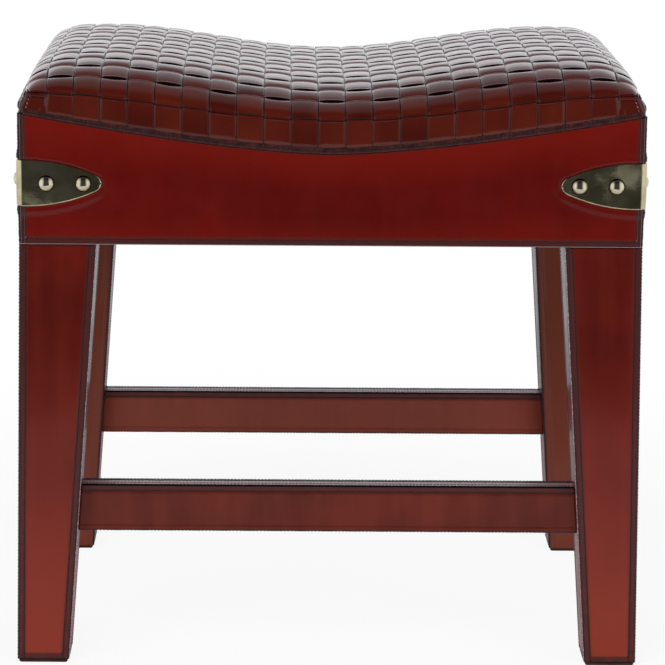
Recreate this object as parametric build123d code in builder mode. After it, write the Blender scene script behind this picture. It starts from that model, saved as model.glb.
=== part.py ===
"""Saddle stool: four leather-wrapped legs, two stretchers, a leather apron with
brass corner straps, and a saddle-shaped seat of interlaced leather straps.

Millimetres. +Z is up, +X runs along the seat and +Y to the back. The origin is
on the floor under the middle of the stool.
"""

import math
import os

from build123d import *

os.makedirs("parts", exist_ok=True)

# Seat plan and the heights of its main lines
seat_width = 495.0
seat_depth = 350.0
leg_length = 352.0
apron_mid_height = 73.5
apron_end_rise = 31.3
skirt_height = 25.0
crown_height = 22.6
horn_rise = 19.3
end_seam_arch = 5.0

# Forms of the saddle line and of the crown across the seat
saddle_power = 1.5
crown_power = 4.2
crown_round = 0.68
horn_share = 0.75

# Leather, and the gaps left for glue and between pieces that only touch
panel_thickness = 2.0
sleeve_thickness = 1.8
glue_gap = 0.3
overrun = 20.0

# Legs, wrapped sizes
leg_foot_outset = 6.7
leg_face_inset = 2.0
leg_top_width = 61.0
leg_foot_width = 41.7
leg_top_depth = 51.0
leg_foot_depth = 39.6
leg_edge_bevel = 1.2
sole_thickness = 3.0
sole_inset = 1.0
sole_edge_bevel = 0.8

# Stretchers, wrapped sizes
stretcher_height = 39.0
stretcher_thickness = 18.0
stretcher_bottom = 110.5
stretcher_edge_bevel = 1.0
tenon_height = 24.0
tenon_thickness = 9.0
tenon_length = 20.0

# Apron rails and seat deck
rail_thickness = 22.0
rail_drop = 10.0
rail_tenon_thickness = 9.0
rail_tenon_length = 18.0
rail_tenon_shoulder = 12.0
deck_thickness = 9.0
panel_return = 12.0
panel_edge_bevel = 1.0

# Corner blocks and their screws
block_reach = 66.0
block_height = 38.0
block_lift = 12.0
block_screw_diameter = 4.5
block_screw_sides = 8
block_screw_head_diameter = 9.0
block_screw_head_sides = 6
block_bore_clearance = 1.0
block_screw_head_height = 3.0
block_screw_length = 34.0
block_screw_grip = 20.0
block_screw_share = 0.42

# Seat pad
pad_inset = 4.2
pad_side_height = 2.0
pad_station_count = 11

# Woven seat: straps that run front to back, and rows that run end to end
long_strap_count = 23
row_count = 15
strap_thickness = 1.7
strap_clearance = 0.3
strap_side_clearance = 0.25
edge_roll = 12.0
edge_drop = 15.0
corner_fold = 6.0
profile_steps = 600

# Brass corner straps and their domed rivets
corner_strap_height = 37.2
corner_strap_length = 66.0
corner_strap_thickness = 1.6
corner_strap_lift = 49.5
corner_strap_bend_radius = 2.4
leaf_shoulder_shares = (0.55, 0.79)
leaf_tip_share = 0.1
rivet_head_diameter = 11.5
rivet_head_height = 3.8
rivet_head_sides = 10
rivet_ring_angles = (0, 38, 72)
rivet_pin_width = 3.4
rivet_pin_length = 14.0
rivet_hole_clearance = 0.15
rivet_near_offset = 24.4
rivet_far_offset = 53.7

# Dust cover
dust_cover_thickness = 0.8
dust_cover_lap = 8.0
tack_head_diameter = 6.0
tack_head_height = 0.8
tack_head_sides = 6
tack_shank_width = 1.6
tack_shank_length = 9.0
tack_edge_distance = 4.0
tacks_along_width = 5
tacks_along_depth = 3

half_width = seat_width / 2
half_depth = seat_depth / 2
horn_x = horn_share * half_width
leg_outer_y = half_depth - leg_face_inset
apron_bottom = leg_length
rail_face_x = half_width - panel_thickness - glue_gap
rail_face_y = half_depth - panel_thickness - glue_gap
wrap = sleeve_thickness + glue_gap
column_pitch = seat_width / long_strap_count
column_edges = [column * column_pitch - half_width for column in range(long_strap_count + 1)]
corner_signs = {"front_left": (-1, -1), "front_right": (1, -1), "back_left": (-1, 1), "back_right": (1, 1)}


def seam_height(x):
    """Height of the seam between apron and woven seat, along the front and back."""
    return apron_bottom + apron_mid_height + apron_end_rise * abs(x / half_width) ** saddle_power


def crest_height(x):
    """Height of the seat along its middle line: low in the middle, a horn near each end."""
    wave = (1 - math.cos(math.pi * x / horn_x)) / 2
    return apron_bottom + apron_mid_height + skirt_height + crown_height + horn_rise * wave


def crest_slope(x):
    return horn_rise * math.pi / (2 * horn_x) * math.sin(math.pi * x / horn_x)


def crown_drop(y):
    """How far the seat lies below its middle line, towards the front and back edges."""
    side = max(0, 1 - abs(y / half_depth) ** crown_power)
    return -crown_height * (1 - side**crown_round)


def end_seam_height(y):
    """Height of the seam across an end of the stool, a shallow arch."""
    return seam_height(half_width) + end_seam_arch * (1 - (y / half_depth) ** 2)


def rail_top_height(x):
    return seam_height(x) - rail_drop


def leg_share(z):
    return z / leg_length


def leg_outer_x(z):
    return half_width + leg_foot_outset * (1 - leg_share(z))


def leg_inner_x(z):
    width = leg_foot_width + (leg_top_width - leg_foot_width) * leg_share(z)
    return leg_outer_x(z) - width


def leg_inner_y(z):
    depth = leg_foot_depth + (leg_top_depth - leg_foot_depth) * leg_share(z)
    return leg_outer_y - depth


def leg_blank(sign_x, sign_y, low, high, inset):
    """Tapered leg between two heights, inset from its wrapped faces: its outline seen from the
    front, cut to its outline seen from the end."""
    front = [
        (sign_x * (leg_inner_x(low) + inset), low),
        (sign_x * (leg_outer_x(low) - inset), low),
        (sign_x * (leg_outer_x(high) - inset), high),
        (sign_x * (leg_inner_x(high) + inset), high),
    ]
    end = [
        (sign_y * (leg_inner_y(low) + inset), low),
        (sign_y * (leg_outer_y - inset), low),
        (sign_y * (leg_outer_y - inset), high),
        (sign_y * (leg_inner_y(high) + inset), high),
    ]
    with BuildPart() as blank:
        with BuildSketch(Plane.XZ) as front_outline:
            with BuildLine():
                Polyline(front, close=True)
            make_face()
        extrude(front_outline.sketch, amount=seat_depth, both=True)
        with BuildSketch(Plane.YZ) as end_outline:
            with BuildLine():
                Polyline(end, close=True)
            make_face()
        extrude(end_outline.sketch, amount=seat_width, both=True, mode=Mode.INTERSECT)
    return blank.part


def offset_path(path, distance):
    """Points at one distance to the left of an open path, with mitred corners."""
    directions = []
    for start, end in zip(path, path[1:]):
        length = math.dist(start, end)
        directions.append(((end[0] - start[0]) / length, (end[1] - start[1]) / length))
    points = []
    for point, before, after in zip(path, directions[:1] + directions, directions + directions[-1:]):
        mitre_x, mitre_y = -(before[1] + after[1]), before[0] + after[0]
        reach = distance / (before[0] * mitre_y - before[1] * mitre_x)
        points.append((point[0] + mitre_x * reach, point[1] + mitre_y * reach))
    return points


def band_outline(path, thickness):
    """Closed outline of a strap of one thickness whose middle follows the path."""
    upper = offset_path(path, thickness / 2)
    lower = offset_path(path, -thickness / 2)
    return upper + lower[::-1]


def saddle_line(end_x, height):
    """Points of a line that follows the saddle from -end_x to end_x, in chords one strap wide."""
    inner = [x for x in column_edges if abs(x) < end_x]
    return [(x, height(x)) for x in [-end_x] + inner + [end_x]]


def bevelled_rectangle(size_x, size_y, bevel):
    """Corners of a rectangle about the origin whose edges are cut back by a small bevel."""
    x, y = size_x / 2, size_y / 2
    return [
        (x, y - bevel), (x - bevel, y), (bevel - x, y), (-x, y - bevel),
        (-x, bevel - y), (bevel - x, -y), (x - bevel, -y), (x, bevel - y),
    ]


def export(part, name):
    part.label = name
    export_step(part, f"parts/{name}.step")


# Middle lines of the rail tenons and the stretchers
stretcher_top = stretcher_bottom + stretcher_height
stretcher_mid_z = stretcher_bottom + stretcher_height / 2
stretcher_y = (leg_outer_y + leg_inner_y(stretcher_mid_z)) / 2
post_inner_x = leg_inner_x(leg_length) + wrap
post_inner_y = leg_inner_y(leg_length) + wrap
post_top = rail_top_height(post_inner_x) - glue_gap
rail_bottom = apron_bottom + panel_thickness + glue_gap
rail_mid_x = rail_face_x - rail_thickness / 2
rail_mid_y = rail_face_y - rail_thickness / 2
rail_tenon_bottom = rail_bottom + rail_tenon_shoulder
rail_tenon_top = post_top - rail_tenon_shoulder
corner_strap_z = apron_bottom + corner_strap_lift
strap_face_x, strap_face_y = half_width + corner_strap_thickness, half_depth + corner_strap_thickness
rivet_hole_width = rivet_pin_width + 2 * rivet_hole_clearance
rivet_hole_depth = rivet_pin_length + glue_gap

# One domed rivet, its head's flat underside on the XY plane and its square pin below
with BuildPart() as rivet:
    for ring_angle in rivet_ring_angles:
        ring_height = rivet_head_height * math.sin(math.radians(ring_angle))
        with BuildSketch(Plane.XY.offset(ring_height)):
            RegularPolygon(rivet_head_diameter / 2 * math.cos(math.radians(ring_angle)), rivet_head_sides)
    loft(ruled=True)
    with BuildSketch():
        Rectangle(rivet_pin_width, rivet_pin_width)
    extrude(amount=-rivet_pin_length)


def rivet_planes(sign_x, sign_y):
    """Seats of the four rivets of one corner strap, on its outer faces."""
    planes = []
    for offset in (rivet_near_offset, rivet_far_offset):
        front = (sign_x * (half_width - offset), sign_y * strap_face_y, corner_strap_z)
        end = (sign_x * strap_face_x, sign_y * (half_depth - offset), corner_strap_z)
        planes.append(Plane(origin=front, x_dir=(1, 0, 0), z_dir=(0, sign_y, 0)))
        planes.append(Plane(origin=end, x_dir=(0, 1, 0), z_dir=(sign_x, 0, 0)))
    return planes


rivet_seats = [plane for signs in corner_signs.values() for plane in rivet_planes(*signs)]


def cut_rivet_holes(planes):
    """Square rivet holes through whatever part is being built."""
    for plane in planes:
        with BuildSketch(plane) as hole:
            Rectangle(rivet_hole_width, rivet_hole_width)
        extrude(hole.sketch, amount=-rivet_hole_depth, mode=Mode.SUBTRACT)


# Legs: wood cores with a post that stands inside the apron, leather sleeves and soles
post_mid_x, post_mid_y = (rail_face_x + post_inner_x) / 2, (rail_face_y + post_inner_y) / 2
sole_mid_x, sole_mid_y = (leg_outer_x(0) + leg_inner_x(0)) / 2, (leg_outer_y + leg_inner_y(0)) / 2
for corner, (sign_x, sign_y) in corner_signs.items():
    core_blank = leg_blank(sign_x, sign_y, sole_thickness + glue_gap, leg_length, wrap)
    with BuildPart() as leg_core:
        add(core_blank)
        with BuildSketch(Plane.XY.offset(leg_length)):
            with Locations((sign_x * post_mid_x, sign_y * post_mid_y)):
                Rectangle(rail_face_x - post_inner_x, rail_face_y - post_inner_y)
        extrude(amount=post_top - leg_length)
        # Mortise for the stretcher
        with BuildSketch(Plane.YZ):
            with Locations((sign_y * stretcher_y, stretcher_mid_z)):
                Rectangle(tenon_thickness + glue_gap, tenon_height + glue_gap)
        mortise_end = sign_x * (leg_inner_x(stretcher_mid_z) + tenon_length + glue_gap)
        extrude(amount=mortise_end, mode=Mode.SUBTRACT)
        # Mortises for the two rails
        with BuildSketch(Plane.YZ):
            with Locations((sign_y * rail_mid_y, (rail_tenon_bottom + rail_tenon_top) / 2)):
                Rectangle(rail_tenon_thickness + glue_gap, rail_tenon_top - rail_tenon_bottom + glue_gap)
        extrude(amount=sign_x * (post_inner_x + rail_tenon_length + glue_gap), mode=Mode.SUBTRACT)
        with BuildSketch(Plane.XZ):
            with Locations((sign_x * rail_mid_x, (rail_tenon_bottom + rail_tenon_top) / 2)):
                Rectangle(rail_tenon_thickness + glue_gap, rail_tenon_top - rail_tenon_bottom + glue_gap)
        extrude(amount=-sign_y * (post_inner_y + rail_tenon_length + glue_gap), mode=Mode.SUBTRACT)
        cut_rivet_holes(rivet_planes(sign_x, sign_y))
    export(leg_core.part, f"leg_core_{corner}")

    sleeve_blank = leg_blank(sign_x, sign_y, sole_thickness, leg_length - glue_gap, 0)
    sleeve_bore = leg_blank(sign_x, sign_y, 0, leg_length, sleeve_thickness)
    with BuildPart() as leg_cover:
        add(sleeve_blank)
        chamfer(leg_cover.edges().filter_by(lambda edge: edge.length > leg_length / 2), leg_edge_bevel)
        add(sleeve_bore, mode=Mode.SUBTRACT)
        with BuildSketch(Plane.YZ):
            with Locations((sign_y * stretcher_y, stretcher_mid_z)):
                Rectangle(tenon_thickness + glue_gap, tenon_height + glue_gap)
        extrude(amount=mortise_end, mode=Mode.SUBTRACT)
    export(leg_cover.part, f"leg_cover_{corner}")

    with BuildPart() as leg_sole:
        with BuildSketch():
            with Locations((sign_x * sole_mid_x, sign_y * sole_mid_y)):
                sole_width, sole_depth = leg_foot_width - 2 * sole_inset, leg_foot_depth - 2 * sole_inset
                Polygon(*bevelled_rectangle(sole_width, sole_depth, leg_edge_bevel))
        extrude(amount=sole_thickness)
        chamfer(leg_sole.faces().sort_by(Axis.Z)[0].edges(), sole_edge_bevel)
    export(leg_sole.part, f"leg_sole_{corner}")

# Stretchers between the legs of the front and of the back
for side, sign_y in (("front", -1), ("back", 1)):
    plane_y = Plane.XZ.offset(-sign_y * stretcher_y)
    core_inset = sleeve_thickness + glue_gap
    with BuildPart() as stretcher_core:
        low, high = stretcher_bottom + core_inset, stretcher_top - core_inset
        with BuildSketch(plane_y):
            with BuildLine():
                Polyline(
                    (-leg_inner_x(low) + glue_gap, low),
                    (leg_inner_x(low) - glue_gap, low),
                    (leg_inner_x(high) - glue_gap, high),
                    (-leg_inner_x(high) + glue_gap, high),
                    close=True,
                )
            make_face()
        extrude(amount=stretcher_thickness / 2 - core_inset, both=True)
        with BuildSketch(plane_y):
            with Locations((0, stretcher_mid_z)):
                Rectangle(2 * (leg_inner_x(stretcher_mid_z) + tenon_length), tenon_height)
        extrude(amount=tenon_thickness / 2, both=True)
    export(stretcher_core.part, f"stretcher_core_{side}")

    with BuildPart() as stretcher_cover:
        with BuildSketch(Plane.YZ):
            with Locations((sign_y * stretcher_y, stretcher_mid_z)):
                Polygon(*bevelled_rectangle(stretcher_thickness, stretcher_height, stretcher_edge_bevel))
                Rectangle(
                    stretcher_thickness - 2 * sleeve_thickness,
                    stretcher_height - 2 * sleeve_thickness,
                    mode=Mode.SUBTRACT,
                )
        extrude(amount=half_width, both=True)
        with BuildSketch(plane_y):
            with BuildLine():
                Polyline(
                    (-leg_inner_x(stretcher_bottom) + glue_gap, stretcher_bottom),
                    (leg_inner_x(stretcher_bottom) - glue_gap, stretcher_bottom),
                    (leg_inner_x(stretcher_top) - glue_gap, stretcher_top),
                    (-leg_inner_x(stretcher_top) + glue_gap, stretcher_top),
                    close=True,
                )
            make_face()
        extrude(amount=stretcher_thickness, both=True, mode=Mode.INTERSECT)
    export(stretcher_cover.part, f"stretcher_cover_{side}")

# Corner block outline, made once for the corner where x and y are positive
block_inner_x = rail_face_x - rail_thickness - glue_gap
block_inner_y = rail_face_y - rail_thickness - glue_gap
block_post_x = post_inner_x - glue_gap
block_post_y = post_inner_y - glue_gap
block_end_x = block_post_x - block_reach
block_end_y = block_post_y - block_reach
block_bottom = rail_bottom + block_lift
block_mid_z = block_bottom + block_height / 2

# One hexagon-headed wood screw, the underside of its head on the XY plane
with BuildPart() as block_screw:
    with BuildSketch():
        RegularPolygon(block_screw_head_diameter / 2, block_screw_head_sides)
    extrude(amount=block_screw_head_height)
    with BuildSketch():
        RegularPolygon(block_screw_diameter / 2, block_screw_sides)
    extrude(amount=-block_screw_length)


def block_screw_planes(sign_x, sign_y):
    """Seats of the two screw heads, in counterbores that leave the grip in the block."""
    along_x = block_post_x - block_reach * block_screw_share
    along_y = block_post_y - block_reach * block_screw_share
    front = (sign_x * along_x, sign_y * (block_inner_y - block_screw_grip), block_mid_z)
    end = (sign_x * (block_inner_x - block_screw_grip), sign_y * along_y, block_mid_z)
    return [
        Plane(origin=front, x_dir=(1, 0, 0), z_dir=(0, -sign_y, 0)),
        Plane(origin=end, x_dir=(0, 1, 0), z_dir=(-sign_x, 0, 0)),
    ]


block_screw_seats = [plane for signs in corner_signs.values() for plane in block_screw_planes(*signs)]


def cut_screw_holes(planes, with_counterbore=False):
    """Clearance holes of the block screws, with counterbores for their heads in a block."""
    for plane in planes:
        with BuildSketch(plane) as hole:
            RegularPolygon((block_screw_diameter + glue_gap) / 2, block_screw_sides)
        extrude(hole.sketch, amount=-(block_screw_length + glue_gap), mode=Mode.SUBTRACT)
        if with_counterbore:
            with BuildSketch(plane) as counterbore:
                RegularPolygon(block_screw_head_diameter / 2 + block_bore_clearance, block_screw_sides)
            extrude(counterbore.sketch, amount=block_reach, mode=Mode.SUBTRACT)


for corner, (sign_x, sign_y) in corner_signs.items():
    with BuildPart() as corner_block:
        with BuildSketch(Plane.XY.offset(block_bottom)):
            with BuildLine():
                Polyline(
                    (sign_x * block_post_x, sign_y * block_inner_y),
                    (sign_x * block_end_x, sign_y * block_inner_y),
                    (sign_x * block_inner_x, sign_y * block_end_y),
                    (sign_x * block_inner_x, sign_y * block_post_y),
                    (sign_x * block_post_x, sign_y * block_post_y),
                    close=True,
                )
            make_face()
        extrude(amount=block_height)
        cut_screw_holes(block_screw_planes(sign_x, sign_y), with_counterbore=True)
    export(corner_block.part, f"corner_block_{corner}")

with BuildPart() as corner_block_screws:
    with Locations(*[plane.location for plane in block_screw_seats]):
        add(block_screw.part)
export(corner_block_screws.part, "corner_block_screws")

# Tacks of the dust cover, heads down, spaced along the four rails
dust_cover_top = rail_bottom - glue_gap
dust_cover_bottom = dust_cover_top - dust_cover_thickness
dust_cover_x = rail_face_x - rail_thickness + dust_cover_lap
dust_cover_y = rail_face_y - rail_thickness + dust_cover_lap
tack_line_x = dust_cover_x - tack_edge_distance
tack_line_y = dust_cover_y - tack_edge_distance
tack_points = []
for step in range(tacks_along_width):
    along = (2 * (step + 0.5) / tacks_along_width - 1) * (post_inner_x - tack_head_diameter)
    tack_points += [(along, -tack_line_y), (along, tack_line_y)]
for step in range(tacks_along_depth):
    along = (2 * (step + 0.5) / tacks_along_depth - 1) * (post_inner_y - tack_head_diameter)
    tack_points += [(-tack_line_x, along), (tack_line_x, along)]


def cut_tack_holes():
    with BuildSketch(Plane.XY.offset(dust_cover_bottom)) as holes:
        with Locations(*tack_points):
            Rectangle(tack_shank_width + glue_gap, tack_shank_width + glue_gap)
    extrude(holes.sketch, amount=tack_shank_length + glue_gap, mode=Mode.SUBTRACT)


# Apron rails: the long ones follow the saddle line on top, the short ones follow its ends
for side, sign_y in (("front", -1), ("back", 1)):
    with BuildPart() as rail_long:
        line = saddle_line(post_inner_x - glue_gap, rail_top_height)
        with BuildSketch(Plane.XZ.offset(-sign_y * rail_mid_y)):
            with BuildLine():
                Polyline(line + [(line[-1][0], rail_bottom), (line[0][0], rail_bottom)], close=True)
            make_face()
        extrude(amount=rail_thickness / 2, both=True)
        with BuildSketch(Plane.XZ.offset(-sign_y * rail_mid_y)):
            with Locations((0, (rail_tenon_bottom + rail_tenon_top) / 2)):
                Rectangle(2 * (post_inner_x + rail_tenon_length), rail_tenon_top - rail_tenon_bottom)
        extrude(amount=rail_tenon_thickness / 2, both=True)
        # The middle of the saddle dips below the tenons' upper edge, so the board is trimmed again
        with BuildSketch(Plane.XZ.offset(-sign_y * rail_mid_y)):
            with BuildLine():
                Polyline(line + [(line[-1][0], crest_height(0)), (line[0][0], crest_height(0))], close=True)
            make_face()
        extrude(amount=rail_thickness, both=True, mode=Mode.SUBTRACT)
        cut_rivet_holes([plane for plane in rivet_seats if plane.z_dir.Y * sign_y > 0.5])
        cut_screw_holes([plane for plane in block_screw_seats if plane.z_dir.Y * sign_y < -0.5])
        cut_tack_holes()
    export(rail_long.part, f"rail_{side}")

for side, sign_x in (("left", -1), ("right", 1)):
    with BuildPart() as rail_short:
        inner_x = rail_face_x - rail_thickness
        with BuildSketch(Plane.XZ):
            with BuildLine():
                Polyline(
                    (sign_x * inner_x, rail_bottom),
                    (sign_x * rail_face_x, rail_bottom),
                    (sign_x * rail_face_x, rail_top_height(rail_face_x)),
                    (sign_x * inner_x, rail_top_height(inner_x)),
                    close=True,
                )
            make_face()
        extrude(amount=post_inner_y - glue_gap, both=True)
        with BuildSketch(Plane.YZ.offset(sign_x * rail_mid_x)):
            with Locations((0, (rail_tenon_bottom + rail_tenon_top) / 2)):
                Rectangle(2 * (post_inner_y + rail_tenon_length), rail_tenon_top - rail_tenon_bottom)
        extrude(amount=rail_tenon_thickness / 2, both=True)
        cut_rivet_holes([plane for plane in rivet_seats if plane.z_dir.X * sign_x > 0.5])
        cut_screw_holes([plane for plane in block_screw_seats if plane.z_dir.X * sign_x < -0.5])
        cut_tack_holes()
    export(rail_short.part, f"rail_{side}")

# Seat deck: a board bent to the saddle line, on top of the rails
deck_bottom = [(x, z + glue_gap) for x, z in saddle_line(rail_face_x, rail_top_height)]
deck_top = [(x, z + deck_thickness) for x, z in deck_bottom]
with BuildPart() as seat_deck:
    with BuildSketch(Plane.XZ):
        with BuildLine():
            Polyline(deck_bottom + deck_top[::-1], close=True)
        make_face()
    extrude(amount=rail_face_y, both=True)
export(seat_deck.part, "seat_deck")

# Boundaries between the woven rows: points at equal distances along the crown
profile_y = [-half_depth * math.cos(math.pi * step / profile_steps) for step in range(profile_steps + 1)]
profile = [(y, crown_drop(y)) for y in profile_y]
travel = [0.0]
for first, second in zip(profile, profile[1:]):
    travel.append(travel[-1] + math.hypot(second[0] - first[0], second[1] - first[1]))


def profile_point(distance):
    """Point of the crown profile at a distance along it from the front edge."""
    index = max(i for i, value in enumerate(travel[:-1]) if value <= distance)
    share = (distance - travel[index]) / (travel[index + 1] - travel[index])
    (y0, z0), (y1, z1) = profile[index], profile[index + 1]
    return y0 + (y1 - y0) * share, z0 + (z1 - z0) * share


row_edges = [profile_point(travel[-1] * row / row_count) for row in range(row_count + 1)]
column_centres = [(column + 0.5) * column_pitch - half_width for column in range(long_strap_count)]
strap_gap = strap_thickness + 2 * strap_side_clearance
lift = strap_thickness + strap_clearance
flat_extra = strap_thickness / 2
# Where the seat folds down at the front and back, the inner sides of two rows need more room
fold_turn = math.pi / 2 - math.atan2(row_edges[1][1] - row_edges[0][1], row_edges[1][0] - row_edges[0][0])
fold_gap = (lift + strap_thickness / 2) * math.tan(fold_turn / 2) + strap_gap / 2


def strap_side(column, row):
    """+1 where the front-to-back strap passes over at this crossing, -1 where it passes under."""
    return 1 if (column + row) % 2 == 0 else -1


def column_span(column):
    """Edges of one front-to-back strap, narrower at the ends, where the seat rolls over."""
    centre = column_centres[column]
    low = centre - column_pitch / 2 + strap_gap / 2
    high = centre + column_pitch / 2 - strap_gap / 2
    return max(low, edge_roll - half_width), min(high, half_width - edge_roll)


def end_roll(side, squeeze):
    """Path of a row down over the right end of the seat, measured from the end of its crest. It
    starts on the roll and hangs down the end, outside (+1) or inside (-1) the end band. Heights
    are squeezed as in the section square to the row."""
    quarter = math.pi / 4
    roll = [
        (-edge_roll, 0),
        (-edge_roll * (1 - math.sin(quarter)), -edge_drop * (1 - math.cos(quarter)) * squeeze),
        (0, -edge_drop * squeeze),
        (0, -(edge_drop + overrun) * squeeze),
    ]
    return offset_path(roll, side * lift)[1:]


# Front-to-back straps: they lie taut over the crown and turn down at the front and back edges
long_straps = []
for column, centre in enumerate(column_centres):
    crest = crest_height(centre)
    low_x, high_x = column_span(column)
    seam = seam_height(centre) - overrun
    path = [(-half_depth, seam)] + [(y, crest + z) for y, z in row_edges] + [(half_depth, seam)]
    with BuildPart() as long_strap:
        with BuildSketch(Plane.YZ.offset(centre)):
            with BuildLine():
                Polyline(band_outline(path, strap_thickness), close=True)
            make_face()
        extrude(amount=column_pitch, dir=(1, 0, crest_slope(centre)), both=True)
        with BuildSketch(Plane.XZ):
            with BuildLine():
                Polyline(
                    (low_x, seam_height(low_x) + strap_clearance),
                    (high_x, seam_height(high_x) + strap_clearance),
                    (high_x, crest + overrun),
                    (low_x, crest + overrun),
                    close=True,
                )
            make_face()
        extrude(amount=seat_depth, both=True, mode=Mode.INTERSECT)
    long_straps.append(long_strap.part)

with BuildPart() as seat_straps_long:
    add(long_straps)
export(seat_straps_long.part, "seat_straps_long")

# End-to-end rows: each passes over one front-to-back strap and under the next, and turns down
# over both ends to the end seams
cross_straps = []
for row in range(row_count):
    (start_y, start_z), (end_y, end_z) = row_edges[row], row_edges[row + 1]
    chord = math.hypot(end_y - start_y, end_z - start_z)
    tilt = math.atan2(end_z - start_z, end_y - start_y)
    squeeze = math.cos(tilt)
    first_gap = fold_gap if row == 0 else strap_gap / 2
    last_gap = fold_gap if row == row_count - 1 else strap_gap / 2
    middle = (first_gap + chord - last_gap) / 2
    middle_y, middle_z = start_y + middle * squeeze, start_z + middle * math.sin(tilt)
    end_crest = crest_height(half_width) + middle_z
    path = [
        (-half_width - x, end_crest * squeeze + z)
        for x, z in end_roll(-strap_side(-1, row + 1), squeeze)[::-1]
    ]
    for column, centre in enumerate(column_centres):
        low_x, high_x = column_span(column)
        shift = -strap_side(column, row + 1) * lift
        level = crest_height(centre) + middle_z
        for x in (low_x - flat_extra, high_x + flat_extra):
            path.append((x, (level + crest_slope(centre) * (x - centre)) * squeeze + shift))
    path += [
        (half_width + x, end_crest * squeeze + z)
        for x, z in end_roll(-strap_side(long_strap_count, row + 1), squeeze)
    ]
    outline = [(x, z / squeeze) for x, z in band_outline(path, strap_thickness)]
    with BuildPart() as cross_strap:
        with BuildSketch(Plane.XZ.offset(-middle_y)):
            with BuildLine():
                Polyline(outline, close=True)
            make_face()
        extrude(amount=(chord - first_gap - last_gap) / 2, dir=(0, squeeze, math.sin(tilt)), both=True)
        # Trim both hanging ends at the end seams
        for sign_x in (-1, 1):
            with BuildSketch(Plane.YZ.offset(sign_x * (half_width - edge_roll))):
                with BuildLine():
                    Polyline(
                        (start_y, end_seam_height(start_y) + strap_clearance),
                        (end_y, end_seam_height(end_y) + strap_clearance),
                        (end_y, apron_bottom),
                        (start_y, apron_bottom),
                        close=True,
                    )
                make_face()
            extrude(amount=sign_x * (edge_roll + overrun), mode=Mode.SUBTRACT)
    cross_straps.append(cross_strap.part)

# Front and back skirt rows, between the seam and the edge of the seat, ending where it rolls over
skirt_low = [(x, z + strap_clearance) for x, z in saddle_line(half_width, seam_height)]
skirt_high = [(x, z - crown_height - fold_gap) for x, z in saddle_line(half_width, crest_height)]
for sign_y, row in ((-1, 0), (1, row_count + 1)):
    path = []
    for column in range(long_strap_count):
        low_x, high_x = column_span(column)
        level = sign_y * (half_depth - strap_side(column, row) * lift)
        path += [(low_x - flat_extra, level), (high_x + flat_extra, level)]
    with BuildPart() as skirt_row:
        with BuildSketch(Plane.XY.offset(apron_bottom)):
            with BuildLine():
                Polyline(band_outline(path, strap_thickness), close=True)
            make_face()
        extrude(amount=crest_height(half_width) - apron_bottom)
        with BuildSketch(Plane.XZ):
            with BuildLine():
                Polyline(skirt_low + skirt_high[::-1], close=True)
            make_face()
        extrude(amount=seat_depth, both=True, mode=Mode.INTERSECT)
    cross_straps.append(skirt_row.part)

with BuildPart() as seat_straps_cross:
    add(cross_straps)
export(seat_straps_cross.part, "seat_straps_cross")

# End bands: one strap across each end, through the hanging ends of the rows
end_bands = []
band_reach = half_depth - corner_fold
band_line = [(y, z) for y, z in row_edges if abs(y) < band_reach]
band_line = [(-band_reach, crown_drop(band_reach))] + band_line + [(band_reach, crown_drop(band_reach))]
band_low = [(y, end_seam_height(y) + strap_clearance) for y, z in band_line]
band_high = [
    (y, max(crest_height(half_width) + z - edge_drop - strap_gap / 2, end_seam_height(y) + strap_thickness))
    for y, z in band_line
]
for sign_x in (-1, 1):
    with BuildPart() as end_band:
        with BuildSketch(Plane.YZ.offset(sign_x * half_width)):
            with BuildLine():
                Polyline(band_low + band_high[::-1], close=True)
            make_face()
        extrude(amount=strap_thickness / 2, both=True)
    end_bands.append(end_band.part)

with BuildPart() as seat_straps_end:
    add(end_bands)
export(seat_straps_end.part, "seat_straps_end")

# Seat pad: one crowned section, lofted along the saddle line below the straps and drawn down
# at both ends, where the rows roll over
pad_half_x = half_width - pad_inset
pad_half_y = half_depth - pad_inset
pad_run = half_width - edge_roll
pad_steps = [2 * station / (pad_station_count - 1) - 1 for station in range(pad_station_count)]
pad_stations = [(-pad_half_x, edge_drop)]
pad_stations += [(step * pad_run, 0) for step in pad_steps] + [(pad_half_x, edge_drop)]
chord_middles = [
    ((first[0] + second[0]) / 2, (first[1] + second[1]) / 2)
    for first, second in zip(row_edges, row_edges[1:])
]


def pad_section(x, drop):
    """Outline of the pad across the seat: flat under, straight sides, crowned top."""
    crest = crest_height(x) - pad_inset - drop
    base = rail_top_height(x) + deck_thickness + 2 * glue_gap
    lowest = base + pad_side_height
    side_z = max(crest - crown_height, lowest)
    crown = [(y * pad_half_y / half_depth, max(crest + z, lowest)) for y, z in chord_middles]
    return [(-pad_half_y, base), (-pad_half_y, side_z)] + crown + [(pad_half_y, side_z), (pad_half_y, base)]


with BuildPart() as seat_pad:
    for x, drop in pad_stations:
        with BuildSketch(Plane.YZ.offset(x)):
            with BuildLine():
                Polyline(pad_section(x, drop), close=True)
            make_face()
    loft(ruled=True)
export(seat_pad.part, "seat_pad")

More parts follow.
